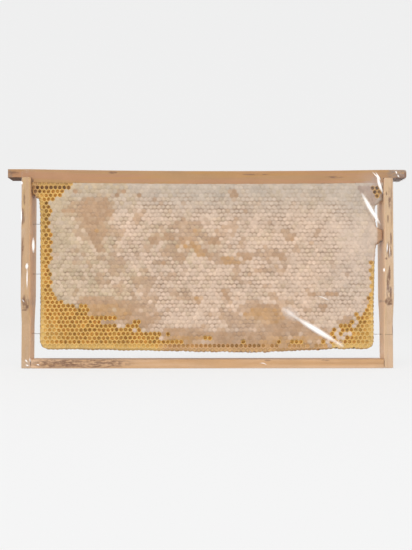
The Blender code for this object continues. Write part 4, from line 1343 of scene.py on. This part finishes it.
class HONEYCOMB_OT_open_cells(bpy.types.Operator):
    """Makes the open cells on both faces of the comb"""

    bl_idname = "honeycomb.open_cells"
    bl_label = "Open Cells"

    def execute(self, context):
        look = context.scene.honeycomb_comb
        material = open_cell_finish(look)
        for name, face in FACES.items():
            piece = open_cells("open_cells_" + name, face, look)
            wear(piece, material)
            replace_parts(piece, "comb")
        return {"FINISHED"}


class HONEYCOMB_OT_comb_edge(bpy.types.Operator):
    """Makes the comb's edge between its two faces"""

    bl_idname = "honeycomb.comb_edge"
    bl_label = "Comb Edge"

    def execute(self, context):
        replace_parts(comb_edge(context.scene.honeycomb_comb), "comb")
        return {"FINISHED"}


class HONEYCOMB_OT_film(bpy.types.Operator):
    """Makes the clear film round the frame, its pocket over the right lug, and its creases"""

    bl_idname = "honeycomb.film"
    bl_label = "Clear Film"

    def execute(self, context):
        look = context.scene.honeycomb_film
        material = film_finish("clear_film", (0.94, 0.94, 0.96), look.veil, 0.5, 0.0)
        wrap = self.wrap(look)
        wear(wrap, material)
        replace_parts(wrap, "film", "film_lug")
        creases = self.creases(look)
        # Painted highlight: the creases are whitened and glow a little.
        wear(creases, film_finish("film_crease", (1.0, 0.985, 0.97), 0.0, look.crease, 0.22))
        return {"FINISHED"}

    def wrap(self, look):
        """One sheet: sections carried along the frame, drawn in to a collar at each lug.

        At the left it ends round the lug. At the right it goes on along the lug and closes past
        its tip. Wrinkles lift it outwards, most over the end bars and the right lug.
        """
        gap = look.clearance
        x = np.linspace(-END_OUTER - gap, END_OUTER + gap, 190)
        body = walk_section(film_sections(x, gap), FOLD_RADIUS)
        collar_y = HALF_BAR + gap
        collar_low = LUG_UNDERSIDE - gap
        lug = np.array(((-collar_y, collar_low), (collar_y, collar_low), (collar_y, collar_low + 0.002),
                        (collar_y, collar_low + 0.004), (collar_y, WOOD_TOP - 0.001),
                        (collar_y, WOOD_TOP + gap), (-collar_y, WOOD_TOP + gap),
                        (-collar_y, WOOD_TOP - 0.001), (-collar_y, collar_low + 0.004),
                        (-collar_y, collar_low + 0.002)))
        lug_ring = walk_section(lug[None], 0.0004)[0]
        left = [(-END_OUTER - gap, share) for share in np.linspace(1.0, 0.0, 6, endpoint=False)]
        tip = LUG_FILM_HIGH[0] - 0.0003
        right = [(END_OUTER + gap, share) for share in np.linspace(0.0, 1.0, 7)[1:]]
        pocket = np.linspace(END_OUTER + gap + 0.001, tip - 0.002, 12)
        closing = ((tip - 0.0008, 0.93), (tip - 0.0002, 0.78), (tip, 0.45), (tip, 0.02))
        places = [(each, body[0] + (lug_ring - body[0]) * share) for each, share in left]
        places += list(zip(x, body))
        places += [(each, body[-1] + (lug_ring - body[-1]) * share) for each, share in right]
        middle = lug_ring.mean(axis=0)
        places += [(each, lug_ring) for each in pocket]
        places += [(each, middle + (lug_ring - middle) * share) for each, share in closing]
        points = np.empty((len(places), len(lug_ring), 3))
        points[:, :, 0] = np.array([each for each, _ in places])[:, None]
        points[:, :, 1:] = np.array([ring for _, ring in places])
        normal = np.cross(np.gradient(points, axis=1), np.gradient(points, axis=0))
        length = np.linalg.norm(normal, axis=2, keepdims=True)
        normal = normal / np.maximum(length, 1e-9)
        across, deep, up = np.moveaxis(points, 2, 0)
        ends = smooth((np.abs(across) - 0.196) / 0.010)
        small = wander(across * 3.0 + deep, up * 0.55, 0.006, 81) * 0.6
        small += wander(across + 2.0 * deep, up * 0.9, 0.004, 82) * 0.4
        over_lug = smooth((across - END_OUTER - 0.001) / 0.002)
        rough = wander(across * 1.2 + 2 * deep, up + deep, 0.0028, 83)
        push = look.wrinkle * (0.5 + 0.5 * small) * (0.15 + 0.85 * ends) * (1.0 - over_lug)
        push += 0.00028 * (0.5 + 0.5 * rough) * over_lug
        floor = smooth((up - WOOD_BASE) / 0.004)
        points += normal * (push * floor)[:, :, None]
        points[:, :, 0] = np.minimum(points[:, :, 0], LUG_FILM_HIGH[0])
        points[:, :, 2] = np.clip(points[:, :, 2], 0.0001, FILM_HIGH[2])
        # Painted sheen and reflection, partly real haze: whitish spots and wrinkles on the film's front, and
        # wrinkles over the right lug.
        corner = np.zeros(across.shape)
        for x0, z0, wide, high, share in HAZE_AND_SHEEN_SPOTS:
            corner += share * np.exp(-((across - x0) / wide) ** 2 - ((up - z0) / high) ** 2)
        haze_and_painted_sheen = (0.10 * ends * smooth((small - 0.25) / 0.3) + corner) * (deep < 0.0)
        haze_and_painted_sheen += 0.20 * over_lug * smooth(rough / 0.6)
        faces = grid_faces(*points.shape[:2], closed_columns=True, flip=True)
        return build_mesh("clear_wrap", points.reshape(-1, 3), [faces], {"haze_and_painted_sheen": haze_and_painted_sheen})

    def creases(self, look):
        """Creases: each a low ridge along a bent line, highest and widest in its middle.

        Across the ridge the height goes as one minus the square of the place, squared. Along it
        height and width go as the root of a sine.
        """
        along = np.linspace(0.0, 1.0, 60)
        across = np.linspace(-1.0, 1.0, 13)
        points = []
        haze_and_painted_sheen = []
        faces = []
        used = 0
        for x0, z0, x1, z1, half_width, height, bend, beside in CREASES:
            run = np.array((x1 - x0, z1 - z0))
            off = np.array((-run[1], run[0])) / np.linalg.norm(run)
            swell = np.sin(np.pi * along) ** 0.7
            line = np.array((x0, z0)) + run * along[:, None] + off * (bend * np.sin(np.pi * along))[:, None]
            wide = half_width * (0.15 + 0.85 * swell) * (1.0 + 0.9 * beside)
            flat = line[:, None] + off * (wide[:, None] * across)[:, :, None]
            corners = film_sections(flat[:, :, 0].ravel(), look.clearance)
            front = self.front_level(corners, flat[:, :, 1].ravel()).reshape(flat.shape[:2])
            core = np.clip(1.0 - (across * (1.0 + 0.9 * beside)) ** 2, 0.0, 1.0)
            ridge = height * swell[:, None] * core ** 2
            y = -np.maximum(front, HALF_BAR + look.clearance) - 0.00025 - ridge
            y = np.maximum(y, FILM_LOW[1] - CREASE_PROUD)
            points.append(np.stack((flat[:, :, 0], y, flat[:, :, 1]), axis=2).reshape(-1, 3))
            # Painted highlight, partly real whitening: each crease is white along its core and hazy beside it.
            soft = np.clip(1.0 - across ** 2, 0.0, 1.0) ** 1.5
            white = 1.0 / (1.0 + 0.8 * beside ** 2)
            strength = white * core ** 1.2 * (swell[:, None] ** 1.3) + 0.12 * beside * soft * swell[:, None]
            haze_and_painted_sheen.append(np.broadcast_to(strength, flat.shape[:2]).ravel())
            faces.append(grid_faces(len(along), len(across)) + used)
            used += flat.shape[0] * flat.shape[1]
        return build_mesh("film_creases", np.concatenate(points), faces,
                          {"haze_and_painted_sheen": np.concatenate(haze_and_painted_sheen)})

    def front_level(self, corners, z):
        """How far out the front of the film lies at height z, on each of the given sections."""
        level = np.zeros(len(z))
        for low in range(1, 5):
            y0, z0 = np.abs(corners[:, low, 0]), corners[:, low, 1]
            y1, z1 = np.abs(corners[:, low + 1, 0]), corners[:, low + 1, 1]
            share = (z - z0) / (z1 - z0)
            here = (share >= 0.0) & (share <= 1.0)
            level = np.where(here, y0 + (y1 - y0) * share, level)
        return level


class HONEYCOMB_PT_panel(bpy.types.Panel):
    """Lists the pieces in the order in which they are made"""

    bl_idname = "HONEYCOMB_PT_panel"
    bl_label = "Framed Honeycomb"
    bl_space_type = "VIEW_3D"
    bl_region_type = "UI"
    bl_category = "Honeycomb"

    def draw(self, context):
        for settings, operators in PANEL_ROWS:
            column = self.layout.column(align=True)
            group = getattr(context.scene, settings)
            for key in group.bl_rna.properties.keys():
                if key not in ("rna_type", "name"):
                    column.prop(group, key)
            for operator in operators:
                column.operator(operator)


SETTINGS = {"honeycomb_comb": CombSettings, "honeycomb_wood": WoodSettings,
            "honeycomb_film": FilmSettings, "honeycomb_stage": StageSettings}
OPERATORS = (HONEYCOMB_OT_stage, HONEYCOMB_OT_wood, HONEYCOMB_OT_wires, HONEYCOMB_OT_cappings,
             HONEYCOMB_OT_open_cells, HONEYCOMB_OT_comb_edge, HONEYCOMB_OT_film)
PANEL_ROWS = (
    ("honeycomb_stage", ("honeycomb.stage",)),
    ("honeycomb_wood", ("honeycomb.wood", "honeycomb.wires")),
    ("honeycomb_comb", ("honeycomb.cappings", "honeycomb.open_cells", "honeycomb.comb_edge")),
    ("honeycomb_film", ("honeycomb.film",)),
)


def register():
    for group in SETTINGS.values():
        bpy.utils.register_class(group)
    for name, group in SETTINGS.items():
        setattr(bpy.types.Scene, name, bpy.props.PointerProperty(type=group))
    for operator in OPERATORS:
        bpy.utils.register_class(operator)
    bpy.utils.register_class(HONEYCOMB_PT_panel)


def unregister():
    bpy.utils.unregister_class(HONEYCOMB_PT_panel)
    for operator in reversed(OPERATORS):
        bpy.utils.unregister_class(operator)
    for name, group in SETTINGS.items():
        delattr(bpy.types.Scene, name)
        bpy.utils.unregister_class(group)


def main():
    register()
    bpy.context.scene.honeycomb_stage.focal = FOCAL_LENGTH
    bpy.ops.honeycomb.stage()
    bpy.ops.honeycomb.wood()
    bpy.ops.honeycomb.wires()
    bpy.ops.honeycomb.cappings()
    bpy.ops.honeycomb.open_cells()
    bpy.ops.honeycomb.comb_edge()
    bpy.ops.honeycomb.film()


if __name__ == "__main__":
    main()
